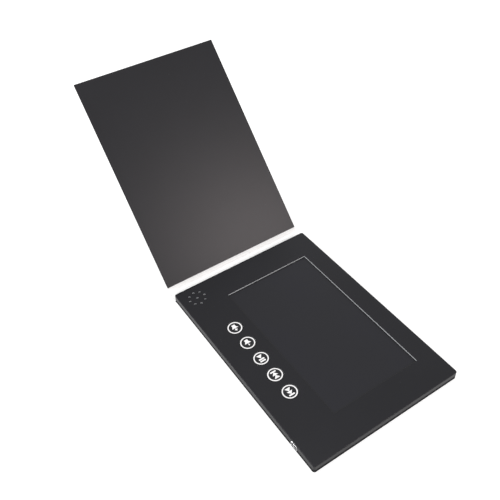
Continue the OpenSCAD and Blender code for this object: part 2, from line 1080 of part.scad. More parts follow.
module cover_card() {
    color(grey_board)
        difference() {
            at_cover()
                block(
                    [-cover_joint_w - cover_len + wrap_t, y_near + wrap_t, 0],
                    [-cover_joint_w - liner_t, -y_near - wrap_t, cover_card_t]
                );
            at_cover_magnet()
                translate([0, 0, cover_card_t - cover_magnet_t])
                    cylinder(d = cover_magnet_d + 2 * magnet_gap, h = cover_magnet_t + eps);
        }
}

// Black inner sheet of the cover, turned down over the card's edge beside the crease
module cover_liner() {
    color(black_sheet)
        at_cover() {
            block(
                [-cover_joint_w - cover_len + wrap_t, y_near + wrap_t, cover_card_t],
                [-cover_joint_w, -y_near - wrap_t, cover_inner]
            );
            block(
                [-cover_joint_w - liner_t, y_near + wrap_t, 0],
                [-cover_joint_w, -y_near - wrap_t, cover_card_t + eps]
            );
        }
}

module cover_magnet() {
    color(metal)
        at_cover_magnet()
            translate([0, 0, cover_card_t - cover_magnet_t])
                cylinder(d = cover_magnet_d, h = cover_magnet_t);
}

base_wrap();
back_board();
side_frame();
foam_insert();
front_board();
face_sheet();
screen_tape();
screen_glass();
screen_backlight();
screen_flex();
battery_cell();
battery_tape();
battery_lead_red();
battery_lead_black();
main_board();
board_tape();
processor_chip();
memory_chip();
power_coil();
board_passives();
screen_connector();
battery_connector();
speaker_connector();
magnet_sensor();
usb_shell();
usb_insulator();
speaker_basket();
speaker_magnet();
speaker_cone();
speaker_gasket();
speaker_gauze();
speaker_lead_red();
speaker_lead_black();
button_board();
switch_housings();
button_ribbon();
button_cap(0);  // volume_up_button
button_cap(1);  // volume_down_button
button_cap(2);  // play_button
button_cap(3);  // previous_button
button_cap(4);  // next_button
button_print(0) volume_up_symbol();  // volume_up_print
button_print(1) volume_down_symbol();  // volume_down_print
button_print(2) play_symbol();  // play_print
button_print(3) previous_symbol();  // previous_print
button_print(4) next_symbol();  // next_print
plunger(0);  // volume_up_plunger
plunger(1);  // volume_down_plunger
plunger(2);  // play_plunger
plunger(3);  // previous_plunger
plunger(4);  // next_plunger
spine_wrap();
spine_lining();
cover_wrap();
cover_lining();
cover_card();
cover_liner();
cover_magnet();
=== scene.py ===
"""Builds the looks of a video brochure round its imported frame: a black card folder with a
screen, five buttons, a speaker and a charging socket in its base panel, and a thin cover on a
creased spine."""

import json
import math
from functools import partial

import bmesh
import bpy
from bpy.props import FloatProperty, FloatVectorProperty, IntProperty, PointerProperty
from mathutils import Euler, Matrix, Vector


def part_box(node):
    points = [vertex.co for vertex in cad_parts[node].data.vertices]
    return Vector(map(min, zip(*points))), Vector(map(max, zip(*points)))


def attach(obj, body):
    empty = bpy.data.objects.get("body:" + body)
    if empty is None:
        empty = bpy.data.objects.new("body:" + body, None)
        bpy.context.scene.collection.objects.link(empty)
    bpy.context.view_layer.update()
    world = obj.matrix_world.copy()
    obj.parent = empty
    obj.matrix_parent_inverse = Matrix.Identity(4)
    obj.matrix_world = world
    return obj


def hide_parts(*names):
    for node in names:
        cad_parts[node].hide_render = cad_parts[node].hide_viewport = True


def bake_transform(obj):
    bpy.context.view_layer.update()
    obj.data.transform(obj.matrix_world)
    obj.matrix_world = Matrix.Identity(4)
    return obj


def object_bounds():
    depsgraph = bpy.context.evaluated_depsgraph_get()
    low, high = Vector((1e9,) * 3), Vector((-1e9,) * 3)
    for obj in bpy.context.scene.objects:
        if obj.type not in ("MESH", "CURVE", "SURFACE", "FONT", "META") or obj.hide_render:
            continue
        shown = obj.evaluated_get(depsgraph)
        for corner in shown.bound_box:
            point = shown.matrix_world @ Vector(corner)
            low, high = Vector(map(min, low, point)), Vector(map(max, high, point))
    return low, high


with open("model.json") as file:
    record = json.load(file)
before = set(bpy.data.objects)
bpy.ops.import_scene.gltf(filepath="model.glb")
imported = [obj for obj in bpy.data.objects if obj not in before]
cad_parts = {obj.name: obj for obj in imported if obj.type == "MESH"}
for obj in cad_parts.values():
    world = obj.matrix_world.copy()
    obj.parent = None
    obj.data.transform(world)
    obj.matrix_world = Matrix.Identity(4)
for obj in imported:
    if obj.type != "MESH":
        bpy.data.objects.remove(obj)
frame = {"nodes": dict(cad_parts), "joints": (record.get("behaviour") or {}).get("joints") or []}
CAD_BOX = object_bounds()

bl_info = {
    "name": "Video brochure",
    "version": (1, 0, 0),
    "blender": (4, 5, 0),
    "location": "3D View > Sidebar > Brochure",
    "description": "Dresses a packed video brochure and sets a white studio round it",
    "category": "Object",
}

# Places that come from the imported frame

KEYS = ("volume_up", "volume_down", "play", "previous", "next")
JOINTS = {joint["name"]: joint for joint in frame["joints"]}
PANEL_LOW, PANEL_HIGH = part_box("face_sheet")
WRAP_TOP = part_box("base_wrap")[1].z
TAPE_LOW, TAPE_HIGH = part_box("screen_tape")
GAUZE_LOW, GAUZE_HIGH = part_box("speaker_gauze")
SHELL_LOW, SHELL_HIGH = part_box("usb_shell")
TONGUE_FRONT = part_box("usb_insulator")[0].y
PANEL_WIDTH = PANEL_HIGH.y - PANEL_LOW.y
SOCKET_MIDDLE = (SHELL_LOW.x + SHELL_HIGH.x) / 2
SOCKET_HALF = (SHELL_HIGH.x - SHELL_LOW.x) / 2
SOCKET_DEPTH = SHELL_HIGH.y - SHELL_LOW.y
CREASE_A = Vector(JOINTS["spine_crease"]["pos_m"])
CREASE_B = Vector(JOINTS["cover_crease"]["pos_m"])
SPINE_RISE = -math.radians(JOINTS["spine_crease"]["range_deg"][0])
COVER_RISE = SPINE_RISE - math.radians(JOINTS["cover_crease"]["range_deg"][0])
COVER_FRAME = Matrix.Translation(CREASE_B) @ Matrix.Rotation(COVER_RISE, 4, "Y")
COVER_BACK = COVER_FRAME.inverted()


def cover_box(node):
    """Lowest and highest corners of a node in the cover's frame, which runs from the crease
    towards -X with the cover's inside up"""
    points = [COVER_BACK @ v.co for v in frame["nodes"][node].data.vertices]
    return tuple(Vector([pick(axis) for axis in zip(*points)]) for pick in (min, max))


COVER_LENGTH = -cover_box("cover_wrap")[0].x
LINER_LOW, LINER_HIGH = cover_box("cover_liner")
LINER_START = -LINER_HIGH.x

# Finish of the meshes, and lights and colours that no setting holds

SMOOTH_ANGLE = math.radians(35)
ARC_STEPS = 8
CAP_STEPS = 96
CAP_INNER_RINGS = (0.4, 0.2)  # Below and above, as shares of the radius
FLOOR_GAP = 0.0001
FLOOR_ROUGHNESS = 0.9
BACKGROUND = 1.0  # Strength of the white that the camera sees
SENSOR_WIDTH = 36.0
VIEW_DEPTH = (0.01, 20.0)
WHITE = (1.0, 1.0, 1.0)
WARM_WHITE = (1.0, 0.9, 0.885)
BLACK_PLASTIC = (0.02, 0.02, 0.02)
# Each lamp's setting, side, place and colour
LAMPS = {
    "Key lamp": ("key_lamp", 0.4, (-0.732, -1.088, 1.0), WHITE),
    "Top lamp": ("top_lamp", 0.8, (-0.1, -0.1, 1.6), WHITE),
    "Front lamp": ("front_lamp", 0.6, (1.1, -0.75, 0.7), WHITE),
    "Glow lamp": ("glow_lamp", 0.45, (1.648, 1.02, 1.531), WARM_WHITE),
}


# Settings


def length(name, description, default):
    """A size, in metres"""
    return FloatProperty(name=name, description=description, default=default, unit="LENGTH")


def lamp_power(name, description, default):
    """A lamp's power, in watts"""
    return FloatProperty(name=name, description=description, default=default, unit="POWER")


def surface_colour(name, description, default):
    """A colour of a surface"""
    return FloatVectorProperty(
        name=name, description=description, default=default, subtype="COLOR"
    )


class BrochureSizes(bpy.types.PropertyGroup):
    """Sizes of the details that the frame leaves to the looks"""

    sheet: length("Sheet thickness", "Thickness of the wrapped paper sheets", 0.0002)
    fold: length(
        "Fold radius", "Outside radius where the outer sheet turns up round a board", 0.0005
    )
    corner: length("Panel corner radius", "Radius of the base panel's upright corners", 0.002)
    top_edge: length("Top edge radius", "Radius of the base panel's top edges", 0.0005)
    cover_corner: length("Cover corner radius", "Radius of the cover's two free corners", 0.0004)
    seam: length(
        "Seam width", "Gap between the face sheet and the outer sheet's turned-up edge", 0.0001
    )
    roll: length("Cut edge roll", "How far a die-cut edge of the face sheet rolls down", 0.00006)
    flat: length(
        "Flat strip width",
        "Width of the flat strip that a sheet keeps beside a rolled edge",
        0.0004,
    )
    window_corner: length(
        "Window corner radius", "Radius of the window's corners in the face sheet", 0.00025
    )
    tape: length("Screen tape width", "Width of the tape round the window", 0.003)
    crease: length(
        "Crease half width", "Distance from a crease over which the sheets bend", 0.0007
    )
    cap: length("Cap diameter", "Diameter of a button's cap above its flange", 0.0146)
    cap_gap: length("Cap gap", "Gap between a button's cap and the sheet round it", 0.0002)
    cap_edge: length("Cap edge radius", "Radius of the top edge of a button's cap", 0.00022)
    cap_flange: length(
        "Cap flange thickness", "Thickness of the flange that holds a cap under the face", 0.0005
    )
    sound_hole: length("Sound hole diameter", "Diameter of one sound hole", 0.002)
    sound_ring: length("Sound ring radius", "Radius of the ring of sound holes", 0.0075)
    sound_holes: IntProperty(
        name="Sound holes", description="Number of holes in the ring", default=8
    )
    socket_wall: length("Socket wall", "Sheet thickness of the charging socket's shell", 0.0003)
    socket_lip: length("Socket lip", "How far the socket's mouth flares outwards", 0.0002)
    socket_taper: length(
        "Socket taper", "How much narrower each side of the socket is at its top", 0.0007
    )
    socket_taper_height: length(
        "Socket taper height", "Height of the sloped part of the socket's sides", 0.0017
    )
    socket_gap: length(
        "Socket gap", "Gap between the socket's lip and the cut in the sheets", 0.0002
    )
    socket_collar: length("Socket collar", "Length of the socket's mouth that is bent out", 0.0006)
    socket_nose: length(
        "Socket nose", "Length over which the outside of the socket's lip is rounded", 0.0004
    )
    socket_flare: length(
        "Socket flare", "Length over which the inside of the socket's mouth flares", 0.00012
    )
    socket_corner: length(
        "Socket corner",
        "How far each corner of the socket's section is rounded along its sides",
        0.0006,
    )
    tongue_width: length("Tongue width", "Width of the tongue in the socket", 0.0034)
    tongue_thickness: length("Tongue thickness", "Thickness of the tongue in the socket", 0.0007)
    socket_back: length("Socket back", "Thickness of the wall at the back of the socket", 0.0015)
    contact: length("Contact width", "Width of one contact on the tongue", 0.00035)
    contacts: IntProperty(name="Contacts", description="Contacts on the tongue", default=5)


class BrochureColours(bpy.types.PropertyGroup):
    """Colours of the sheets, boards, screen and metal"""

    face: surface_colour(
        "Face", "Printed black face sheet and inner sheet", (0.0053, 0.0053, 0.0076)
    )
    outer: surface_colour(
        "Outer sheet", "Black sheet round the outside of the folder", (0.008, 0.008, 0.009)
    )
    # Lighter colour along the black sheets' edges: partly wear, partly a painted highlight
    rubbed_and_highlit: surface_colour(
        "Rubbed and highlit edge", "Black sheet where an edge is rubbed", (0.04, 0.04, 0.042)
    )
    lining: surface_colour("Lining", "White paper lining in the spine", (0.97, 0.97, 0.965))
    white_core: surface_colour("White core", "White board under the face sheet", (0.5, 0.51, 0.53))
    grey_board: surface_colour(
        "Grey board", "Grey board inside the panel and the cover", (0.33, 0.31, 0.28)
    )
    screen: surface_colour("Screen", "Switched-off screen", (0.004, 0.004, 0.0068))
    screen_border: surface_colour(
        "Screen border", "Black border round the screen's picture area", (0.005, 0.005, 0.006)
    )
    cap: surface_colour("Button cap", "Black button caps", (0.0047, 0.0047, 0.0066))
    ink: surface_colour("White ink", "Printed rings and symbols", (0.86, 0.86, 0.86))
    metal: surface_colour("Plated steel", "Charging socket's shell", (0.64, 0.64, 0.65))
    gold: surface_colour("Gold plating", "Contacts in the charging socket", (0.83, 0.62, 0.27))


class BrochureStudio(bpy.types.PropertyGroup):
    """Camera, lamps and floor"""

    lens: FloatProperty(
        name="Lens", description="Focal length", default=47.591, unit="CAMERA"
    )
    camera_place: FloatVectorProperty(
        name="Camera place",
        description="Where the camera stands",
        subtype="TRANSLATION",
        default=(0.28614, -0.234082, 0.458164),
    )
    camera_turn: FloatVectorProperty(
        name="Camera turn",
        description="Camera's rotation",
        subtype="EULER",
        default=tuple(math.radians(a) for a in (46.3704, 1.8996, 56.1279)),
    )
    sky: FloatProperty(
        name="Sky strength", description="Even light from all round", default=0.5
    )
    key_lamp: lamp_power("Key lamp", "Power of the lamp on the side of the buttons", 13.0)
    top_lamp: lamp_power("Top lamp", "Power of the lamp overhead", 5.5)
    front_lamp: lamp_power("Front lamp", "Power of the lamp on the side of the free edge", 6.0)
    glow_lamp: lamp_power("Glow lamp", "Power of the warm lamp that the cover mirrors", 16.5)
    floor: surface_colour("Floor", "White floor", (0.65, 0.65, 0.65))
    floor_lift: FloatProperty(
        name="Floor lift",
        description="Glow of the floor where the camera looks at it",
        default=0.55,
    )
    floor_mirrored: FloatProperty(
        name="Floor in reflections",
        description="Share of the floor's glow that a reflection shows",
        default=0.55,
    )
    floor_size: length("Floor size", "Side of the floor", 6.0)


# Mesh helpers


def link(name, data):
    """A new object in the scene for a mesh, a lamp or a camera"""
    made = bpy.data.objects.new(name, data)
    bpy.context.scene.collection.objects.link(made)
    return made


def smooth(mesh):
    """Shades a mesh smooth but for its sharp edges"""
    mesh.shade_smooth()
    mesh.set_sharp_from_angle(angle=SMOOTH_ANGLE)


def from_bmesh(name, bm):
    """An object from a bmesh"""
    mesh = bpy.data.meshes.new(name)
    bm.to_mesh(mesh)
    bm.free()
    smooth(mesh)
    return link(name, mesh)


def closed_piece(name, bm):
    """An object from a bmesh of closed skins, with their faces turned outwards"""
    bmesh.ops.recalc_face_normals(bm, faces=bm.faces)
    return from_bmesh(name, bm)


def thicken(obj, thickness):
    """Gives a surface its sheet thickness, behind its front"""
    modifier = obj.modifiers.new("Thickness", "SOLIDIFY")
    modifier.thickness = thickness
    modifier.offset = -1.0
    modifier.use_even_offset = True
    graph = bpy.context.evaluated_depsgraph_get()
    mesh = bpy.data.meshes.new_from_object(obj.evaluated_get(graph))
    obj.modifiers.clear()
    obj.data = mesh
    smooth(mesh)
    return obj


def arc(centre, radius, start, end, steps):
    """Points on an arc, angles in degrees"""
    angles = [math.radians(start + (end - start) * i / steps) for i in range(steps + 1)]
    return [(centre[0] + radius * math.cos(a), centre[1] + radius * math.sin(a)) for a in angles]


def fillet(points, reach, steps=ARC_STEPS):
    """A polyline with each inner corner rounded from a reach before it to a reach after it"""
    made = [points[0]]
    for before, corner, after in zip(points, points[1:], points[2:]):
        first = corner + (before - corner).normalized() * reach
        last = corner + (after - corner).normalized() * reach
        for i in range(steps + 1):
            t = i / steps
            made.append(first * (1 - t) ** 2 + corner * 2 * t * (1 - t) + last * t * t)
    return made + [points[-1]]


def offset_line(points, distance):
    """The polyline moved sideways, to the left of its direction for a positive distance"""
    made = []
    last = len(points) - 1
    for i, point in enumerate(points):
        run = (points[min(i + 1, last)] - points[max(i - 1, 0)]).normalized()
        made.append(point + Vector((-run.y, run.x)) * distance)
    return made


def rounded_loop(low, high, radius, grow=0.0, steps=ARC_STEPS):
    """Closed outline of a rectangle with round corners, grown sideways, anticlockwise"""
    made = []
    for x, y, start in (
        (high[0] - radius, low[1] + radius, -90),
        (high[0] - radius, high[1] - radius, 0),
        (low[0] + radius, high[1] - radius, 90),
        (low[0] + radius, low[1] + radius, 180),
    ):
        made += arc((x, y), radius + grow, start, start + 90, steps)
    return made


def round_loop(centre, radius, grow=0.0, steps=48):
    """Closed outline of a circle, grown sideways, anticlockwise"""
    return arc(centre, radius + grow, 0, 360, steps)[:-1]


def rolled_edge(roll, flat, top, bottom, steps=5):
    """Rows [outwards, up] of a sheet's edge: a flat strip, the roll over the edge, its cut"""
    turn = [(roll * (math.sin(a) - 1), top - roll * (1 - math.cos(a))) for a in quarter(steps)]
    return [(-roll - flat, top), *turn, (0.0, bottom)]


def edge_rings(bm, outline, rows, sign=1, place=Vector):
    """A ring of vertices for each row of an edge. The outline grows by the row's outwards"""
    return [
        [bm.verts.new(place((x, y, up))) for x, y in outline(grow=sign * out)] for out, up in rows
    ]


def ring_edges(bm, rings):
    """The edges along some closed rings"""
    return [bm.edges.get((a, b)) for ring in rings for a, b in zip(ring, ring[1:] + ring[:1])]


def turn_faces(bm, towards):
    """Turns the faces of one skin so that its largest face looks towards a direction"""
    bmesh.ops.recalc_face_normals(bm, faces=bm.faces)
    bm.normal_update()
    largest = max(bm.faces, key=lambda face: face.calc_area())
    if largest.normal.dot(towards) < 0:
        bmesh.ops.reverse_faces(bm, faces=bm.faces)


def grid_faces(bm, rows, keep=None):
    """Quads between neighbouring rows of vertices"""
    for j, (low, high) in enumerate(zip(rows, rows[1:])):
        for i in range(len(low) - 1):
            if keep is None or keep(i, j):
                bm.faces.new((low[i], low[i + 1], high[i + 1], high[i]))


def loop_faces(bm, rings, close_ends=True):
    """Quads between neighbouring closed rings, and a face on each end"""
    for low, high in zip(rings, rings[1:]):
        for i in range(len(low)):
            bm.faces.new((low[i - 1], low[i], high[i], high[i - 1]))
    if close_ends:
        bm.faces.new(tuple(reversed(rings[0])))
        bm.faces.new(tuple(rings[-1]))


# Sheets of the folder


def tray_outline(width, reach, radius, steps=6):
    """Open outline of a sheet's walls: along one side, round the free end and back. Each point
    has its place from the sheet's hinge side and its outward direction."""
    half = width / 2
    made = []
    for sign, start in ((-1, -90), (1, 0)):
        centre = (reach - radius, sign * (half - radius))
        for point in arc(centre, radius, start, start + 90, steps):
            made.append((Vector(point), (Vector(point) - Vector(centre)).normalized()))
    first = (Vector((0.0, -half)), Vector((0.0, -1.0)))
    last = (Vector((0.0, half)), Vector((0.0, 1.0)))
    return [first, *made, last]


def turned_up_sheet(outline, fold, height, lead, place, notch=None):
    """Outer surface of a sheet with three turned-up walls. lead is the surface's line [x, z] from
    its wall-less side on, and place puts a point (along, across, up) in the frame. notch is
    (from, to, floor): a cut in the first wall's upper edge."""
    bm = bmesh.new()
    points = list(outline)
    if notch:
        side = points[0][1]
        y = points[0][0].y
        cuts = [(Vector((along, y)), side) for along in notch[:2]]
        points = [points[0], *cuts, *points[1:]]
    inset = fold * 1.5
    profile = [(inset, 0.0)]
    profile += [(fold - fold * math.sin(a), fold - fold * math.cos(a)) for a in quarter(steps=5)]
    floor_z = notch[2] if notch else (fold + height) / 2
    profile += [(0.0, min(inset, (fold + floor_z) / 2)), (0.0, floor_z), (0.0, height)]
    rows = [
        [bm.verts.new(place(p.x - n.x * inwards, p.y - n.y * inwards, up)) for p, n in points]
        for inwards, up in profile
    ]
    top_row = len(profile) - 2
    grid_faces(bm, rows, lambda i, j: not (notch and j == top_row and i == 1))
    bm.faces.new(tuple(reversed(rows[0])))
    half = -points[0][0].y
    across = (-half, -half + inset, half - inset, half)
    ends = [bm.verts.new(place(0.0, y, 0.0)) for y in (-half, half)]
    lines = [[ends[0], rows[0][0], rows[0][-1], ends[1]]]
    lines += [[bm.verts.new(place(x, y, z)) for y in across] for x, z in lead]
    grid_faces(bm, lines[::-1])
    return bm


def quarter(steps):
    """Angles of a quarter turn, in radians"""
    return [math.pi / 2 * i / steps for i in range(steps + 1)]


def strip(name, line, thickness, y_low, y_high):
    """A strip that follows a line [x, z], with its thickness to the line's left"""
    bm = bmesh.new()
    upper = offset_line(line, thickness)
    rings = []
    for y in (y_low, y_high):
        ring = [Vector((p.x, y, p.y)) for p in line]
        ring += [Vector((p.x, y, p.y)) for p in reversed(upper)]
        rings.append([bm.verts.new(co) for co in ring])
    loop_faces(bm, rings, close_ends=False)
    for ring in rings:
        grid_faces(bm, [ring[: len(line)], ring[: len(line) - 1 : -1]])
    return closed_piece(name, bm)


def spine_line(sizes):
    """Line [x, z] where the outer sheet and the lining meet, from the base to the cover"""
    cover = COVER_FRAME @ Vector((-LINER_START, 0.0, 0.0))
    corners = [
        Vector((PANEL_LOW.x, CREASE_A.z)),
        Vector((CREASE_A.x, CREASE_A.z)),
        Vector((CREASE_B.x, CREASE_B.z)),
        Vector((cover.x, cover.z)),
    ]
    return fillet(corners, sizes.crease)


def window(sizes):
    """Lowest and highest corners [x, y] of the screen's window in the face sheet"""
    tape = Vector((sizes.tape, sizes.tape))
    return TAPE_LOW.xy + tape, TAPE_HIGH.xy - tape


def split_spine_line(sizes):
    """The spine's line up to its middle, and from its middle on"""
    line = spine_line(sizes)
    middle = Vector(((CREASE_A.x + CREASE_B.x) / 2, (CREASE_A.z + CREASE_B.z) / 2))
    base_side = [p for p in line if p.x > middle.x]
    cover_side = [p for p in line if p.x < middle.x]
    return base_side + [middle], [middle] + cover_side


def bend(piece):
    """Bakes a sheet's placing into its mesh"""
    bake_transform(piece)


# Shader helpers


def feed(tree, socket, value):
    """Links an output to an input, or sets the input to a plain value"""
    if isinstance(value, bpy.types.NodeSocket):
        tree.links.new(value, socket)
    else:
        socket.default_value = value


def add(tree, kind, inputs=(), **settings):
    """A node with its settings, and its inputs set or linked"""
    made = tree.nodes.new(kind)
    for name, value in settings.items():
        setattr(made, name, value)
    for name, value in dict(inputs).items():
        feed(tree, made.inputs[name], value)
    return made


def rgba(colour, factor=1.0, lift=0.0):
    """A colour with full alpha, lighter or darker by a factor and a lift"""
    return (*(min(c * factor + lift, 1.0) for c in colour[:3]), 1.0)


def maths(tree, operation, first, second):
    """Output of one maths node"""
    return add(tree, "ShaderNodeMath", {0: first, 1: second}, operation=operation).outputs[0]


def noise(tree, vector, scale, detail, roughness=0.5):
    """Output of a noise texture"""
    inputs = {"Vector": vector, "Scale": scale, "Detail": detail, "Roughness": roughness}
    return add(tree, "ShaderNodeTexNoise", inputs).outputs[0]


def stretch(tree, vector, scales):
    """A vector with each of its axes scaled"""
    inputs = {0: vector, 1: scales}
    return add(tree, "ShaderNodeVectorMath", inputs, operation="MULTIPLY").outputs[0]


def mix_colour(tree, factor, first, second):
    """Output of a colour mix"""
    made = add(tree, "ShaderNodeMix", {0: factor}, data_type="RGBA")
    feed(tree, made.inputs[6], first)
    feed(tree, made.inputs[7], second)
    return made.outputs[2]


def touch_up(tree, tint, colour, mask, share):
    """A tint with a share of a colour where a mask is bright"""
    return mix_colour(tree, maths(tree, "MULTIPLY", mask, share), tint, colour)


def ramp(tree, value, low, high, to_low=0.0, to_high=1.0):
    """Output of a smooth map from one range to another"""
    ends = ("From Min", "From Max", "To Min", "To Max")
    inputs = {"Value": value, **dict(zip(ends, (low, high, to_low, to_high)))}
    return add(tree, "ShaderNodeMapRange", inputs, interpolation_type="SMOOTHSTEP").outputs[0]


def start_group(name, inputs, outputs):
    """An empty shader group with a Vector and further inputs, and value outputs. Returns its
    tree, what it is given and what it gives"""
    tree = bpy.data.node_groups.new(name, "ShaderNodeTree")
    new_socket = tree.interface.new_socket
    new_socket("Vector", in_out="INPUT", socket_type="NodeSocketVector")
    for socket, default in inputs.items():
        kind = "NodeSocketFloat" if isinstance(default, float) else "NodeSocketVector"
        new_socket(socket, in_out="INPUT", socket_type=kind).default_value = default
    for socket in outputs:
        new_socket(socket, in_out="OUTPUT", socket_type="NodeSocketFloat")
    given = tree.nodes.new("NodeGroupInput").outputs
    return tree, given, tree.nodes.new("NodeGroupOutput").inputs


def paper_group(name):
    """Fibres, cloudy mottling and sparse specks of a paper or board surface"""
    inputs = {"Fibre Scale": 2600.0, "Cloud Scale": 28.0, "Speck Scale": 420.0, "Speck Size": 0.06}
    tree, given, result = start_group(name, inputs, ("Fibre", "Cloud", "Speck"))
    vector = given["Vector"]
    cloud = noise(tree, vector, given["Cloud Scale"], detail=3.0)
    cells = add(tree, "ShaderNodeTexVoronoi", {"Vector": vector, "Scale": given["Speck Scale"]})
    chosen = add(tree, "ShaderNodeSeparateColor", {"Color": cells.outputs["Color"]})
    rare = maths(tree, "GREATER_THAN", chosen.outputs[0], 0.93)
    near = maths(tree, "LESS_THAN", cells.outputs["Distance"], given["Speck Size"])
    fibre = noise(tree, vector, given["Fibre Scale"], detail=5.0, roughness=0.62)
    feed(tree, result["Fibre"], fibre)
    feed(tree, result["Cloud"], ramp(tree, cloud, 0.3, 0.7))
    feed(tree, result["Speck"], maths(tree, "MULTIPLY", rare, near))


def edge_group(name):
    """Mask that is bright within a radius of a sharp edge, for edges that a material lightens
    partly as wear and partly as a painted highlight
    """
    inputs = {"Radius": 0.0003, "Break Scale": 300.0}
    tree, given, result = start_group(name, inputs, ("Mask",))
    rounded = add(tree, "ShaderNodeBevel", {"Radius": given["Radius"]}, samples=6).outputs[0]
    normal = tree.nodes.new("ShaderNodeNewGeometry").outputs["Normal"]
    dot = add(tree, "ShaderNodeVectorMath", {0: rounded, 1: normal}, operation="DOT_PRODUCT")
    bent = ramp(tree, dot.outputs["Value"], 0.998, 0.86)
    breaks = noise(tree, given["Vector"], given["Break Scale"], detail=3.0)
    broken = ramp(tree, breaks, 0.36, 0.62, 0.35, 1.0)
    feed(tree, result["Mask"], maths(tree, "MULTIPLY", bent, broken))


def moulded_group(name):
    """Fine moulded texture of a plastic part"""
    tree, given, result = start_group(name, {"Scale": 3000.0}, ("Height", "Tone"))
    wide = maths(tree, "DIVIDE", given["Scale"], 24.0)
    tone = noise(tree, given["Vector"], wide, detail=2.0)
    feed(tree, result["Height"], noise(tree, given["Vector"], given["Scale"], detail=4.0))
    feed(tree, result["Tone"], ramp(tree, tone, 0.3, 0.7))


def streak_group(name):
    """Streaks of rolled or brushed metal along one direction"""
    inputs = {"Stretch": (1.0, 30.0, 30.0), "Scale": 160.0}
    tree, given, result = start_group(name, inputs, ("Streak", "Stain"))
    drawn = stretch(tree, given["Vector"], given["Stretch"])
    stain = noise(tree, given["Vector"], given["Scale"], detail=2.0)
    feed(tree, result["Streak"], noise(tree, drawn, given["Scale"], detail=4.0))
    feed(tree, result["Stain"], ramp(tree, stain, 0.35, 0.7))


GROUP_MAKERS = {
    "Paper surface": paper_group,
    "Edge rub": edge_group,
    "Moulded plastic": moulded_group,
    "Metal streaks": streak_group,
}


def effect(tree, name, place, **values):
    """Outputs of a shader group placed in a material, made the first time it is asked for"""
    if name not in bpy.data.node_groups:
        GROUP_MAKERS[name](name)
    inputs = {"Vector": place}
    inputs |= {key.replace("_", " ").title(): value for key, value in values.items()}
    group = bpy.data.node_groups[name]
    return add(tree, "ShaderNodeGroup", inputs, node_tree=group).outputs


def start_material(name, gloss=0.5, metallic=0.0):
    """A material's node tree, its surface shader and the place on the object"""
    material = bpy.data.materials.new(name)
    material.use_nodes = True
    tree = material.node_tree
    shader = tree.nodes["Principled BSDF"]
    shader.inputs["Specular IOR Level"].default_value = gloss
    shader.inputs["Metallic"].default_value = metallic
    place = tree.nodes.new("ShaderNodeTexCoord").outputs["Object"]
    return material, tree, shader, place


def set_surface(tree, shader, colour, height, depth, roughness):
    """Gives a surface its colour, bumps of a depth in metres and its roughness"""
    feed(tree, shader.inputs["Base Color"], colour)
    feed(tree, shader.inputs["Roughness"], roughness)
    if depth:
        bump = add(tree, "ShaderNodeBump", {"Height": height, "Distance": depth})
        feed(tree, shader.inputs["Normal"], bump.outputs[0])


# Paper and board


def black_laminate(name, colour, rubbed_and_highlit, rough=(0.32, 0.38), gloss=0.255):
    """Black printed paper under a soft matt film"""
    material, tree, shader, place = start_material(name, gloss)
    paper = effect(tree, "Paper surface", place, fibre_scale=3200.0)
    edge = effect(tree, "Edge rub", place, radius=0.00025)
    tint = mix_colour(tree, paper["Cloud"], rgba(colour, 0.93), rgba(colour, 1.07))
    # Edges lightened: partly wear, partly a painted highlight
    tint = touch_up(tree, tint, rgba(rubbed_and_highlit), edge["Mask"], share=0.45)
    tint = touch_up(tree, tint, (0.3, 0.3, 0.3, 1.0), paper["Speck"], share=0.22)
    roughness = ramp(tree, paper["Fibre"], 0.25, 0.75, *rough)
    set_surface(tree, shader, tint, paper["Fibre"], depth=0.000006, roughness=roughness)
    return material


def white_paper(name, colour):
    """Uncoated white paper"""
    material, tree, shader, place = start_material(name, gloss=0.3)
    paper = effect(tree, "Paper surface", place, fibre_scale=1800.0, cloud_scale=60.0)
    tint = mix_colour(tree, paper["Cloud"], rgba(colour, 0.985), rgba(colour))
    set_surface(tree, shader, tint, paper["Fibre"], depth=0.000012, roughness=0.75)
    return material


def pulp_board(name, colour, spread):
    """Board of pressed pulp, with plies that show on its cut edges"""
    material, tree, shader, place = start_material(name, gloss=0.2)
    scales = {"fibre_scale": 900.0, "cloud_scale": 160.0, "speck_scale": 900.0}
    paper = effect(tree, "Paper surface", place, **scales)
    layers = stretch(tree, place, (120.0, 120.0, 5200.0))
    ply = noise(tree, layers, scale=1.0, detail=3.0)
    worn = maths(tree, "MULTIPLY", paper["Cloud"], ply)
    tint = mix_colour(tree, worn, rgba(colour, 1 - spread), rgba(colour, 1 + spread))
    tint = touch_up(tree, tint, rgba(colour, 0.4), paper["Speck"], share=spread * 2)
    set_surface(tree, shader, tint, paper["Fibre"], depth=0.00003, roughness=0.85)
    return material


# Screen, caps and ink


def screen_panel(name, colours, window_low, window_high):
    """Switched-off screen under its matt polariser, with a dark border round the picture area"""
    material, tree, shader, place = start_material(name, gloss=0.32)
    parts = add(tree, "ShaderNodeSeparateXYZ", {0: place}).outputs
    border = 0.0012
    fade = 0.0001
    inside = None
    for axis, (low, high) in enumerate(zip(window_low, window_high)):
        for limit, blur in ((low + border, fade), (high - border, -fade)):
            part = ramp(tree, parts[axis], limit - blur, limit + blur)
            inside = part if inside is None else maths(tree, "MULTIPLY", inside, part)
    cloud = ramp(tree, noise(tree, place, scale=14.0, detail=1.0), 0.35, 0.65)
    red, green, blue = colours.screen
    picture = mix_colour(tree, cloud, rgba(colours.screen), rgba((red, green, blue * 1.12)))
    tint = mix_colour(tree, inside, rgba(colours.screen_border), picture)
    haze = noise(tree, place, scale=9000.0, detail=2.0)
    roughness = ramp(tree, haze, 0.3, 0.7, 0.3, 0.36)
    set_surface(tree, shader, tint, haze, depth=0.0000012, roughness=roughness)
    return material


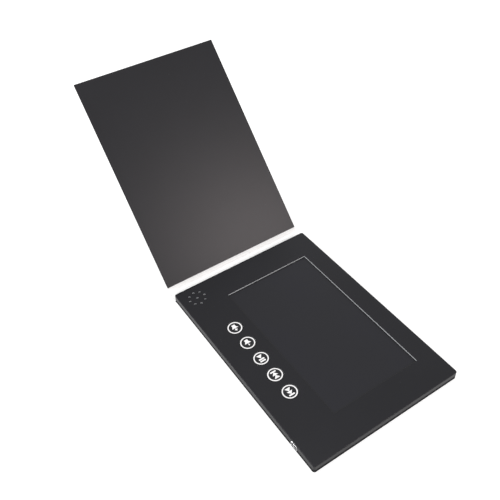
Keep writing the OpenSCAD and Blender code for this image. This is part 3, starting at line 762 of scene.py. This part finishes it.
def printed_ink(name, colour):
    """Thick white ink with a slightly uneven coat"""
    material, tree, shader, place = start_material(name)
    grain = effect(tree, "Moulded plastic", place, scale=2400.0)
    tint = mix_colour(tree, grain["Tone"], rgba(colour, 0.95), rgba(colour))
    set_surface(tree, shader, tint, grain["Height"], depth=0.000005, roughness=0.5)
    return material


def moulded_plastic(name, colour, rough=(0.4, 0.5), gloss=0.5):
    """Moulded plastic with a fine eroded texture, and edges lightened partly as wear and partly as
    a painted highlight
    """
    material, tree, shader, place = start_material(name, gloss)
    grain = effect(tree, "Moulded plastic", place)
    edge = effect(tree, "Edge rub", place, radius=0.0002)
    tint = mix_colour(tree, grain["Tone"], rgba(colour, 0.9), rgba(colour, 1.1))
    # Edges lightened: partly wear, partly a painted highlight
    tint = touch_up(tree, tint, rgba(colour, 1.6, 0.02), edge["Mask"], share=0.3)
    roughness = ramp(tree, grain["Height"], 0.3, 0.7, *rough)
    set_surface(tree, shader, tint, grain["Height"], depth=0.00001, roughness=roughness)
    return material


# Metal


def rolled_metal(name, colour, rough=(0.22, 0.38), stretched=(1.0, 30.0, 30.0), depth=0.000004):
    """Plated or rolled sheet metal with streaks along one direction"""
    material, tree, shader, place = start_material(name, metallic=1.0)
    streaks = effect(tree, "Metal streaks", place, stretch=stretched)
    edge = effect(tree, "Edge rub", place, radius=0.0002)
    tint = mix_colour(tree, streaks["Stain"], rgba(colour, 0.86), rgba(colour))
    # Edges brightened: partly wear, partly a painted highlight
    tint = touch_up(tree, tint, rgba(colour, 1.15), edge["Mask"], share=0.5)
    roughness = ramp(tree, streaks["Streak"], 0.3, 0.7, *rough)
    set_surface(tree, shader, tint, streaks["Streak"], depth, roughness=roughness)
    return material


def wrinkled_foil(name):
    """Aluminium laminate of a battery pouch"""
    material, tree, shader, place = start_material(name, metallic=1.0)
    streaks = effect(tree, "Metal streaks", place, stretch=(8.0, 8.0, 8.0), scale=18.0)
    dull, bright = (0.6, 0.6, 0.62, 1.0), (0.75, 0.75, 0.77, 1.0)
    tint = mix_colour(tree, streaks["Stain"], dull, bright)
    roughness = ramp(tree, streaks["Stain"], 0.2, 0.8, 0.3, 0.48)
    set_surface(tree, shader, tint, streaks["Streak"], depth=0.00006, roughness=roughness)
    return material


# Inner parts


def circuit_board(name):
    """Green solder mask over copper tracks, with tinned pads"""
    material, tree, shader, place = start_material(name)
    flat = stretch(tree, place, (420.0, 420.0, 0.0))
    looks = {
        "Vector": flat,
        "Color1": (0.012, 0.1, 0.035, 1.0),
        "Color2": (0.016, 0.13, 0.045, 1.0),
        "Mortar": (0.03, 0.2, 0.075, 1.0),
        "Scale": 1.0,
        "Mortar Size": 0.05,
    }
    tracks = add(tree, "ShaderNodeTexBrick", looks).outputs
    pads = add(tree, "ShaderNodeTexVoronoi", {"Vector": flat, "Scale": 1.6})
    pad = maths(tree, "LESS_THAN", pads.outputs["Distance"], 0.16)
    tint = mix_colour(tree, pad, tracks["Color"], (0.62, 0.6, 0.55, 1.0))
    raised = maths(tree, "ADD", tracks["Fac"], pad)
    set_surface(tree, shader, tint, raised, depth=0.00002, roughness=0.3)
    feed(tree, shader.inputs["Metallic"], pad)
    return material


def cell_foam(name):
    """Dark open-cell foam"""
    material, tree, shader, place = start_material(name)
    cells = add(tree, "ShaderNodeTexVoronoi", {"Vector": place, "Scale": 1600.0})
    height = ramp(tree, cells.outputs["Distance"], 0.0, 0.5)
    # Cells darker in their pits: painted shade in the hollows
    tint = mix_colour(tree, height, (0.02, 0.02, 0.022, 1.0), (0.09, 0.09, 0.095, 1.0))
    set_surface(tree, shader, tint, height, depth=0.0001, roughness=0.95)
    return material


def threads(tree, place, scale, direction):
    """Output of waves that lie side by side along one axis"""
    inputs = {"Vector": place, "Scale": scale}
    return add(tree, "ShaderNodeTexWave", inputs, bands_direction=direction).outputs["Fac"]


def woven_gauze(name):
    """Black woven gauze behind the sound holes"""
    material, tree, shader, place = start_material(name)
    over = maths(tree, "MAXIMUM", *(threads(tree, place, 1100.0, axis) for axis in "XY"))
    tint = mix_colour(tree, over, (0.004, 0.004, 0.004, 1.0), (0.05, 0.05, 0.052, 1.0))
    set_surface(tree, shader, tint, over, depth=0.00005, roughness=0.7)
    return material


def ribbed_film(name, colour, line_colour, axis, pitch=0.003):
    """Flat cable or film with parallel conductors"""
    material, tree, shader, place = start_material(name)
    line = ramp(tree, threads(tree, place, 1.0 / pitch, axis), 0.35, 0.6)
    grain = effect(tree, "Moulded plastic", place, scale=1500.0)
    tint = mix_colour(tree, line, rgba(colour), rgba(line_colour))
    roughness = ramp(tree, grain["Height"], 0.3, 0.7, 0.3, 0.45)
    set_surface(tree, shader, tint, line, depth=0.00002, roughness=roughness)
    return material


def paint(piece, material):
    """Gives a piece one material in all its slots"""
    slots = piece.data.materials
    if not slots:
        slots.append(material)
    for i in range(len(slots)):
        slots[i] = material


def dress(nodes, maker, name, *args):
    """Gives carried-over nodes a material"""
    material = maker(name, *args)
    for node in nodes:
        paint(frame["nodes"][node], material)


def place_piece(piece, body, slot, material, *nodes):
    """Puts a finished piece on a body, with its material, and hides the nodes that it stands for.
    The slot is not used.
    """
    if body:
        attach(piece, body)
    paint(piece, material)
    if nodes:
        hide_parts(*nodes)


class BuildOperator:
    """What every operator here shares"""

    bl_options = {"REGISTER", "UNDO"}

    def execute(self, context):
        """Builds the pieces"""
        scene = context.scene
        self.build(scene.brochure_sizes, scene.brochure_colours, scene.brochure_studio)
        return {"FINISHED"}


class BROCHURE_OT_stage(BuildOperator, bpy.types.Operator):
    """Builds the white floor, the sky, the lamps and the camera"""

    bl_idname = "brochure.stage"
    bl_label = "Studio"

    def build(self, sizes, colours, studio):
        """Builds the stage"""
        scene = bpy.context.scene
        scene.view_settings.view_transform = "Standard"
        self.build_camera(scene, studio)
        self.build_sky(scene, studio)
        self.build_floor(studio)
        self.build_lamps(studio)

    def build_camera(self, scene, studio):
        """Camera at the photograph's place"""
        camera = bpy.data.cameras.new("Camera")
        camera.lens = studio.lens
        camera.sensor_width = SENSOR_WIDTH
        camera.clip_start, camera.clip_end = VIEW_DEPTH
        made = link("Camera", camera)
        made.location = studio.camera_place
        made.rotation_euler = Euler(studio.camera_turn)
        scene.camera = made

    def seen_directly(self, tree, mirrored=1.0):
        """1 where the camera or a clear body looks at the background, a share in reflections"""
        path = tree.nodes.new("ShaderNodeLightPath")
        glossy = maths(tree, "MULTIPLY", path.outputs["Is Glossy Ray"], mirrored)
        seen = maths(tree, "MAXIMUM", path.outputs["Is Camera Ray"], glossy)
        return maths(tree, "MAXIMUM", seen, path.outputs["Is Transmission Ray"])

    def build_sky(self, scene, studio):
        """White for the camera and in reflections, and an even soft light for the object"""
        world = bpy.data.worlds.new("Sky")
        world.use_nodes = True
        scene.world = world
        tree = world.node_tree
        seen = self.seen_directly(tree)
        light, white = (
            add(tree, "ShaderNodeBackground", {"Color": rgba(WHITE), "Strength": strength})
            for strength in (studio.sky, BACKGROUND)
        )
        self.mix_shaders(tree, seen, light, white, tree.nodes["World Output"])

    def mix_shaders(self, tree, factor, first, second, out):
        """Mixes two shaders into the output of a tree"""
        inputs = {0: factor, 1: first.outputs[0], 2: second.outputs[0]}
        mixed = add(tree, "ShaderNodeMixShader", inputs)
        feed(tree, out.inputs["Surface"], mixed.outputs[0])

    def build_floor(self, studio):
        """White floor that keeps the object's shadow, and lets the camera look up through it"""
        bm = bmesh.new()
        bmesh.ops.create_grid(bm, x_segments=2, y_segments=2, size=studio.floor_size / 2)
        floor = from_bmesh("Floor", bm)
        floor.location.z = CAD_BOX[0].z - FLOOR_GAP
        material, tree, shader, _ = start_material("Floor", gloss=0.0)
        shader.inputs["Base Color"].default_value = rgba(studio.floor)
        shader.inputs["Roughness"].default_value = FLOOR_ROUGHNESS
        shader.inputs["Emission Color"].default_value = rgba(WHITE)
        seen = self.seen_directly(tree, studio.floor_mirrored)
        lift = maths(tree, "MULTIPLY", seen, studio.floor_lift)
        feed(tree, shader.inputs["Emission Strength"], lift)
        clear = tree.nodes.new("ShaderNodeBsdfTransparent")
        side = tree.nodes.new("ShaderNodeNewGeometry").outputs["Backfacing"]
        self.mix_shaders(tree, side, shader, clear, tree.nodes["Material Output"])
        paint(floor, material)

    def build_lamps(self, studio):
        """Square lamps that face the object: one on the side of the buttons, one overhead, one on
        the side of the free edge and a warm one that the cover mirrors"""
        middle = (CAD_BOX[0] + CAD_BOX[1]) / 2
        for name, (setting, side, place, colour) in LAMPS.items():
            data = bpy.data.lights.new(name, "AREA")
            data.energy = getattr(studio, setting)
            data.shape = "SQUARE"
            data.size = side
            data.color = colour
            lamp = link(name, data)
            lamp.location = place
            lamp.rotation_euler = (middle - lamp.location).to_track_quat("-Z", "Y").to_euler()


class BROCHURE_OT_outer_sheet(BuildOperator, bpy.types.Operator):
    """Builds the black outer sheet, which runs under the base, round the spine and over the
    cover"""

    bl_idname = "brochure.outer_sheet"
    bl_label = "Outer sheet"

    def build(self, sizes, colours, studio):
        """Builds the sheet in two pieces that meet in the middle of the spine"""
        material = black_laminate(
            "Outer sheet", colours.outer, colours.rubbed_and_highlit, rough=(0.68, 0.78), gloss=0.08
        )
        base_side, cover_side = split_spine_line(sizes)
        self.build_base_half(sizes, base_side, material)
        self.build_cover_half(sizes, cover_side, material)

    def build_base_half(self, sizes, line, material):
        """From the middle of the spine to the free edge of the base panel"""
        start = PANEL_LOW.x + sizes.corner
        middle, reach = SOCKET_MIDDLE - start, SOCKET_HALF + sizes.socket_gap
        notch = (middle - reach, middle + reach, SHELL_LOW.z - sizes.socket_gap)
        outline = tray_outline(PANEL_WIDTH, PANEL_HIGH.x - start, sizes.corner)
        lead = [(p.x - start, p.y) for p in offset_line(line, sizes.sheet)]

        def place(along, across, up):
            """Point on the base panel's underside"""
            return Vector((start + along, across, up))

        bm = turned_up_sheet(outline, sizes.fold, WRAP_TOP, lead, place, notch)
        piece = thicken(from_bmesh("outer_sheet_base", bm), sizes.sheet)
        bend(piece)
        place_piece(piece, None, "black_sheet", material, "base_wrap", "spine_wrap")

    def build_cover_half(self, sizes, line, material):
        """From the middle of the spine to the free edge of the cover"""
        outline = tray_outline(PANEL_WIDTH, COVER_LENGTH - LINER_START, sizes.cover_corner)
        under = offset_line(line, sizes.sheet)
        local = [COVER_BACK @ Vector((p.x, 0.0, p.y)) for p in under[-2::-1]]
        lead = [(-p.x - LINER_START, p.z + sizes.sheet) for p in local]

        def place(along, across, up):
            """Point on the cover's outside"""
            return COVER_FRAME @ Vector((-LINER_START - along, across, up - sizes.sheet))

        height = LINER_HIGH.z + sizes.sheet
        bm = turned_up_sheet(outline, sizes.fold / 2, height, lead, place)
        bmesh.ops.reverse_faces(bm, faces=bm.faces)
        piece = thicken(from_bmesh("outer_sheet_cover", bm), sizes.sheet)
        bend(piece)
        place_piece(piece, None, "black_sheet", material, "cover_wrap")


class BROCHURE_OT_lining(BuildOperator, bpy.types.Operator):
    """Builds the white lining in the spine"""

    bl_idname = "brochure.lining"
    bl_label = "Spine lining"

    def build(self, sizes, colours, studio):
        """Builds the lining in two pieces that meet in the middle of the spine"""
        material = white_paper("Lining paper", colours.lining)
        nodes = {"lining_base": "spine_lining", "lining_cover": "cover_lining"}
        for (name, node), line in zip(nodes.items(), split_spine_line(sizes)):
            piece = strip(name, line, -sizes.sheet, PANEL_LOW.y, PANEL_HIGH.y)
            bend(piece)
            place_piece(piece, None, "white_lining", material, node)


class BROCHURE_OT_boards(BuildOperator, bpy.types.Operator):
    """Dresses the boards inside the base panel and the cover"""

    bl_idname = "brochure.boards"
    bl_label = "Boards"

    def build(self, sizes, colours, studio):
        """Gives the boards their materials"""
        inner = ("back_board", "side_frame", "cover_card")
        dress(("front_board",), pulp_board, "White core board", colours.white_core, 0.06)
        dress(inner, pulp_board, "Grey board", colours.grey_board, 0.2)
        dress(("foam_insert", "speaker_gasket"), cell_foam, "Foam")


class BROCHURE_OT_face(BuildOperator, bpy.types.Operator):
    """Builds the black face sheet with its window, button holes and sound holes"""

    bl_idname = "brochure.face"
    bl_label = "Face sheet"

    def build(self, sizes, colours, studio):
        """Builds the face sheet of the base panel and the inner sheet of the cover"""
        material = black_laminate("Face sheet", colours.face, colours.rubbed_and_highlit)
        self.build_panel_sheet(sizes, material)
        self.build_cover_sheet(sizes, material)

    def openings(self, sizes):
        """Outline makers of the window, the button holes and the sound holes"""
        made = [partial(rounded_loop, *window(sizes), sizes.window_corner)]
        for key in KEYS:
            centre = sum(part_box(f"{key}_button"), Vector()) / 2
            made.append(partial(round_loop, centre, sizes.cap / 2 + sizes.cap_gap, steps=72))
        speaker = (GAUZE_LOW + GAUZE_HIGH) / 2
        places = arc(speaker, sizes.sound_ring, 0, 360, sizes.sound_holes)[:-1]
        for place in (speaker, *places):
            made.append(partial(round_loop, place, sizes.sound_hole / 2, steps=32))
        return made

    def build_panel_sheet(self, sizes, material):
        """The sheet over the panel's front, turned down over its sides"""
        top, edge = PANEL_HIGH.z, sizes.top_edge
        wide = SOCKET_HALF + sizes.socket_gap
        narrow = wide - sizes.socket_taper
        cuts = [SOCKET_MIDDLE + across for across in (-wide, -narrow, narrow, wide)]

        def outline(grow):
            """The panel's outline, with the ends of the socket's cut on its near side"""
            loop = rounded_loop(PANEL_LOW, PANEL_HIGH, sizes.corner, grow)
            return loop + [(x, PANEL_LOW.y - grow) for x in cuts]

        rows = rolled_edge(edge, sizes.flat, top, top - edge - sizes.flat, steps=7)
        notch_level = len(rows)
        rows.append((0.0, SHELL_HIGH.z + sizes.socket_gap))
        rows.append((0.0, SHELL_HIGH.z - sizes.socket_lip - sizes.socket_taper_height))
        rows.append((0.0, WRAP_TOP + sizes.seam))
        bm = bmesh.new()
        rings = edge_rings(bm, outline, rows)
        corner_points = ARC_STEPS + 1
        first_cut = 4 * corner_points
        for level, (high, low) in enumerate(zip(rings, rings[1:])):
            for i, (a, b) in enumerate(zip(high, high[1:] + high[:1])):
                c, d = low[(i + 1) % len(low)], low[i]
                cut = i - first_cut if level >= notch_level else -1
                if cut not in (0, 1, 2):
                    bm.faces.new((a, b, c, d))
                elif level == notch_level and cut != 1:
                    bm.faces.new((a, b, d) if cut == 0 else (a, b, c))
        hinge = rings[-1][2 * corner_points : first_cut]
        low = [bm.verts.new((v.co.x, v.co.y, PANEL_LOW.z)) for v in hinge]
        grid_faces(bm, [low, hinge])
        self.add_rim(bm, sizes, top - edge)
        holes = [
            edge_rings(bm, hole, rolled_edge(sizes.roll, sizes.flat, top, top - sizes.sheet), -1)
            for hole in self.openings(sizes)
        ]
        for hole in holes:
            loop_faces(bm, hole, close_ends=False)
        edges = ring_edges(bm, [rings[0], *(hole[0] for hole in holes)])
        bmesh.ops.triangle_fill(bm, use_beauty=True, edges=edges, normal=(0.0, 0.0, 1.0))
        bmesh.ops.delete(bm, geom=[v for v in bm.verts if not v.link_faces], context="VERTS")
        turn_faces(bm, Vector((0.0, 0.0, 1.0)))
        piece = from_bmesh("panel_sheet", bm)
        place_piece(piece, "base", "black_sheet", material, "face_sheet")

    def add_rim(self, bm, sizes, below):
        """Gives the free edges of the walls their thickness, inwards"""
        corner = Vector((sizes.corner, sizes.corner, 0.0))
        low, high = PANEL_LOW + corner, PANEL_HIGH - corner
        free = [e for e in bm.edges if e.is_boundary and max(v.co.z for v in e.verts) < below]
        made = bmesh.ops.extrude_edge_only(bm, edges=free)["geom"]
        for vert in (item for item in made if isinstance(item, bmesh.types.BMVert)):
            x = min(max(vert.co.x, low.x), high.x)
            y = min(max(vert.co.y, low.y), high.y)
            out = Vector((vert.co.x - x, vert.co.y - y, 0.0)).normalized()
            vert.co -= out * sizes.sheet

    def build_cover_sheet(self, sizes, material):
        """The sheet over the cover's inside, turned down beside the crease"""
        outline = partial(rounded_loop, LINER_LOW, LINER_HIGH, sizes.flat + 2 * sizes.roll)
        rows = rolled_edge(sizes.roll, sizes.flat, LINER_HIGH.z, LINER_LOW.z)
        bm = bmesh.new()
        loop_faces(bm, edge_rings(bm, outline, rows, place=lambda p: COVER_FRAME @ Vector(p)))
        piece = closed_piece("cover_sheet", bm)
        place_piece(piece, "cover", "black_sheet", material, "cover_liner")


class BROCHURE_OT_screen(BuildOperator, bpy.types.Operator):
    """Dresses the screen, its tape, its backlight and its flex"""

    bl_idname = "brochure.screen"
    bl_label = "Screen"

    def build(self, sizes, colours, studio):
        """Gives the screen module its materials"""
        tapes = ("screen_tape", "battery_tape", "board_tape")
        film = (0.35, 0.14, 0.03), (0.6, 0.3, 0.1)
        dress(("screen_glass",), screen_panel, "Screen", colours, *window(sizes))
        dress(tapes, moulded_plastic, "Tape", BLACK_PLASTIC)
        dress(("screen_backlight",), moulded_plastic, "Backlight tray", (0.7, 0.7, 0.7))
        dress(("screen_flex",), ribbed_film, "Flex film", *film, "X")


class BROCHURE_OT_buttons(BuildOperator, bpy.types.Operator):
    """Builds the five button caps and dresses their printed symbols and plungers"""

    bl_idname = "brochure.buttons"
    bl_label = "Buttons"

    def build(self, sizes, colours, studio):
        """Builds each cap on its own body"""
        cap = moulded_plastic("Button cap", colours.cap, rough=(0.42, 0.5), gloss=0.3)
        for key in KEYS:
            self.build_cap(key, sizes, cap)
        dress([f"{key}_print" for key in KEYS], printed_ink, "White ink", colours.ink)
        plungers = [f"{key}_plunger" for key in KEYS]
        dress(plungers, moulded_plastic, "Plunger", (0.2, 0.09, 0.04))

    def build_cap(self, key, sizes, material):
        """A turned cap with a flange and a rounded top edge"""
        low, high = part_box(f"{key}_button")
        centre = (low + high) / 2
        flange = (high.x - low.x) / 2
        radius = sizes.cap / 2
        ledge = low.z + sizes.cap_flange
        inner = (radius - sizes.cap_edge, high.z - sizes.cap_edge)
        below, above = CAP_INNER_RINGS
        profile = [(flange * below, low.z), (flange, low.z), (flange, ledge), (radius, ledge)]
        profile += arc(inner, sizes.cap_edge, 0, 90, steps=5)
        profile += [(radius - sizes.cap_edge - sizes.flat, high.z), (radius * above, high.z)]
        bm = bmesh.new()
        outline = partial(round_loop, centre, 0.0, steps=CAP_STEPS)
        loop_faces(bm, edge_rings(bm, outline, profile))
        piece = from_bmesh(f"{key}_cap", bm)
        place_piece(piece, f"{key}_key", "button_cap", material, f"{key}_button")


class BROCHURE_OT_socket(BuildOperator, bpy.types.Operator):
    """Builds the charging socket's shell, tongue and contacts"""

    bl_idname = "brochure.socket"
    bl_label = "Charging socket"

    def build(self, sizes, colours, studio):
        """Builds the socket"""
        drawn = {"stretched": (30.0, 1.0, 30.0), "depth": 0.0}
        metal = rolled_metal("Socket shell", colours.metal, rough=(0.2, 0.26), **drawn)
        plastic = moulded_plastic("Socket insulator", BLACK_PLASTIC)
        gold = rolled_metal("Contact plating", colours.gold, rough=(0.2, 0.3))
        section = self.section(sizes)
        self.build_shell(sizes, section, metal)
        self.build_insulator(sizes, section, plastic)
        self.build_contacts(sizes, gold)

    def section(self, sizes):
        """Points of the shell's section [across, up], and their directions outwards"""
        half = SOCKET_HALF - sizes.socket_lip
        height = SHELL_HIGH.z - SHELL_LOW.z - 2 * sizes.socket_lip
        narrow = half - sizes.socket_taper
        shoulder = height - sizes.socket_taper_height
        corners = [(0, 0), (half, 0), (half, shoulder), (narrow, height)]
        corners += [(-narrow, height), (-half, shoulder), (-half, 0), (0, 0)]
        loop = fillet([Vector(c) for c in corners], sizes.socket_corner)[:-1]
        made = []
        for i, point in enumerate(loop):
            run = loop[(i + 1) % len(loop)] - loop[i - 1]
            made.append((point, Vector((run.y, -run.x)).normalized()))
        return made

    def ring(self, bm, sizes, section, depth, grow):
        """A ring of vertices round the section at a depth from the mouth"""
        corner = Vector((SOCKET_MIDDLE, SHELL_LOW.z + sizes.socket_lip))
        places = [corner + point + out * grow for point, out in section]
        return [bm.verts.new((p.x, SHELL_LOW.y + depth, p.y)) for p in places]

    def build_shell(self, sizes, section, material):
        """The shell, bent out round its mouth"""
        lip, wall, collar = sizes.socket_lip, sizes.socket_wall, sizes.socket_collar
        nose, flare = sizes.socket_nose, sizes.socket_flare
        steps = [i / 4 for i in range(5)]
        profile = [(SOCKET_DEPTH, 0.0), (collar + 2 * wall, 0.0)]
        profile += [(collar + wall * (1 - t), lip * t * t * (3 - 2 * t)) for t in steps]
        profile += [
            (nose - nose * math.sin(a), lip - wall + wall * math.cos(a)) for a in quarter(steps=6)
        ]
        profile += [(flare * t, lip * (1 - t) ** 2 - wall) for t in steps[1:]]
        profile += [(collar, -wall), (SOCKET_DEPTH, -wall)]
        bm = bmesh.new()
        rings = [self.ring(bm, sizes, section, back, grow) for back, grow in profile]
        loop_faces(bm, [*rings, rings[0]], close_ends=False)
        piece = closed_piece("socket_shell", bm)
        place_piece(piece, "base", "bright_metal", material, "usb_shell")

    def build_insulator(self, sizes, section, material):
        """The wall at the back of the shell, and the tongue that stands out of it"""
        wall = sizes.socket_wall
        edge = wall / 2
        start = SOCKET_DEPTH - sizes.socket_back
        bm = bmesh.new()
        profile = [(start, edge), (start + edge, 0.0), (SOCKET_DEPTH, 0.0)]
        rings = [self.ring(bm, sizes, section, back, -wall - inset) for back, inset in profile]
        loop_faces(bm, rings)
        low, high = self.tongue(sizes)
        radius = sizes.tongue_thickness / 3
        blunt, turn = radius * 0.8, radius * 0.3
        outline = partial(rounded_loop, low, high, radius, steps=4)
        nose = [(-blunt, TONGUE_FRONT), (-turn, TONGUE_FRONT + turn)]
        nose += [(0.0, TONGUE_FRONT + radius), (0.0, SHELL_LOW.y + start + edge)]
        loop_faces(bm, edge_rings(bm, outline, nose, place=lambda p: Vector((p[0], p[2], p[1]))))
        piece = closed_piece("socket_insulator", bm)
        place_piece(piece, "base", "black_package", material, "usb_insulator")

    def tongue(self, sizes):
        """Lowest and highest corners [across, up] of the tongue's section"""
        centre = (SHELL_LOW.z + SHELL_HIGH.z) / 2
        low = Vector((SOCKET_MIDDLE - sizes.tongue_width / 2, centre))
        return low, low + Vector((sizes.tongue_width, sizes.tongue_thickness))

    def build_contacts(self, sizes, material):
        """Sprung contacts along the top of the tongue"""
        low, high = self.tongue(sizes)
        pitch = (high.x - low.x) / sizes.contacts
        side, rise = sizes.contact / 2, sizes.contact / 4
        flat = side * 0.8
        start = TONGUE_FRONT + sizes.tongue_thickness / 2
        end = SHELL_HIGH.y - sizes.socket_back
        line = [(start, -rise), (start, rise * 0.4), (start + rise, rise)]
        line += [(end, rise), (end, -rise)]
        bm = bmesh.new()
        for i in range(sizes.contacts):
            middle = low.x + (i + 0.5) * pitch
            rows = [
                [bm.verts.new((middle + across, y, high.y + up - drop)) for y, up in line]
                for across, drop in ((-side, rise), (-flat, 0.0), (flat, 0.0), (side, rise))
            ]
            grid_faces(bm, [*rows, rows[0]])
            for cut in (0, -1):
                bm.faces.new([row[cut] for row in rows])
        piece = closed_piece("socket_contacts", bm)
        place_piece(piece, "base", "bright_metal", material)


class BROCHURE_OT_speaker(BuildOperator, bpy.types.Operator):
    """Dresses the speaker and its leads"""

    bl_idname = "brochure.speaker"
    bl_label = "Speaker"

    def build(self, sizes, colours, studio):
        """Gives the speaker its materials"""
        steel = ("speaker_basket", "speaker_magnet", "switch_housings")
        red = ("speaker_lead_red", "battery_lead_red")
        black = ("speaker_lead_black", "battery_lead_black")
        cone = (0.03, 0.03, 0.03), (0.08, 0.08, 0.08)
        dress(("speaker_gauze",), woven_gauze, "Gauze")
        dress(steel, rolled_metal, "Pressed steel", (0.6, 0.6, 0.62))
        dress(("speaker_cone",), black_laminate, "Cone paper", *cone)
        dress(red, moulded_plastic, "Red insulation", (0.5, 0.02, 0.02))
        dress(black, moulded_plastic, "Black insulation", BLACK_PLASTIC)


class BROCHURE_OT_electronics(BuildOperator, bpy.types.Operator):
    """Dresses the boards, chips, connectors, battery and magnet"""

    bl_idname = "brochure.electronics"
    bl_label = "Electronics"

    def build(self, sizes, colours, studio):
        """Gives the inner parts their materials"""
        chips = ("processor_chip", "memory_chip", "power_coil", "magnet_sensor")
        connectors = ("screen_connector", "battery_connector", "speaker_connector")
        ribbon = (0.45, 0.45, 0.47), (0.7, 0.7, 0.72)
        dress(("main_board", "button_board"), circuit_board, "Circuit board")
        dress(chips, moulded_plastic, "Chip package", (0.025, 0.025, 0.028), (0.5, 0.6))
        dress(("board_passives",), moulded_plastic, "Ceramic parts", (0.45, 0.3, 0.17))
        dress(connectors, moulded_plastic, "Ivory plastic", (0.72, 0.68, 0.55))
        dress(("battery_cell",), wrinkled_foil, "Battery foil")
        dress(("cover_magnet",), rolled_metal, "Plated magnet", (0.7, 0.7, 0.72), (0.1, 0.2))
        dress(("button_ribbon",), ribbed_film, "Ribbon cable", *ribbon, "Y")


class BROCHURE_PT_panel(bpy.types.Panel):
    """Sidebar panel that lists the builders and their settings"""

    bl_idname = "BROCHURE_PT_panel"
    bl_label = "Video brochure"
    bl_space_type = "VIEW_3D"
    bl_region_type = "UI"
    bl_category = "Brochure"

    def draw(self, context):
        """Draws the buttons and the settings"""
        layout = self.layout
        for operator in OPERATORS:
            layout.operator(operator.bl_idname)
        for key in PROPERTY_GROUPS:
            group = getattr(context.scene, key)
            box = layout.box()
            for name in group.__annotations__:
                box.prop(group, name)


OPERATORS = (
    BROCHURE_OT_stage,
    BROCHURE_OT_outer_sheet,
    BROCHURE_OT_lining,
    BROCHURE_OT_boards,
    BROCHURE_OT_face,
    BROCHURE_OT_screen,
    BROCHURE_OT_buttons,
    BROCHURE_OT_socket,
    BROCHURE_OT_speaker,
    BROCHURE_OT_electronics,
)
PROPERTY_GROUPS = {
    "brochure_sizes": BrochureSizes,
    "brochure_colours": BrochureColours,
    "brochure_studio": BrochureStudio,
}


def register():
    """Registers the settings, the operators and the panel"""
    for name, group in PROPERTY_GROUPS.items():
        bpy.utils.register_class(group)
        setattr(bpy.types.Scene, name, PointerProperty(type=group))
    for operator in OPERATORS:
        bpy.utils.register_class(operator)
    bpy.utils.register_class(BROCHURE_PT_panel)


def unregister():
    """Takes the panel, the operators and the settings away again"""
    bpy.utils.unregister_class(BROCHURE_PT_panel)
    for operator in reversed(OPERATORS):
        bpy.utils.unregister_class(operator)
    for name, group in PROPERTY_GROUPS.items():
        delattr(bpy.types.Scene, name)
        bpy.utils.unregister_class(group)


def main():
    """Builds the whole brochure"""
    register()
    bpy.ops.brochure.stage()
    bpy.ops.brochure.outer_sheet()
    bpy.ops.brochure.lining()
    bpy.ops.brochure.boards()
    bpy.ops.brochure.face()
    bpy.ops.brochure.screen()
    bpy.ops.brochure.buttons()
    bpy.ops.brochure.socket()
    bpy.ops.brochure.speaker()
    bpy.ops.brochure.electronics()


if __name__ == "__main__":
    main()
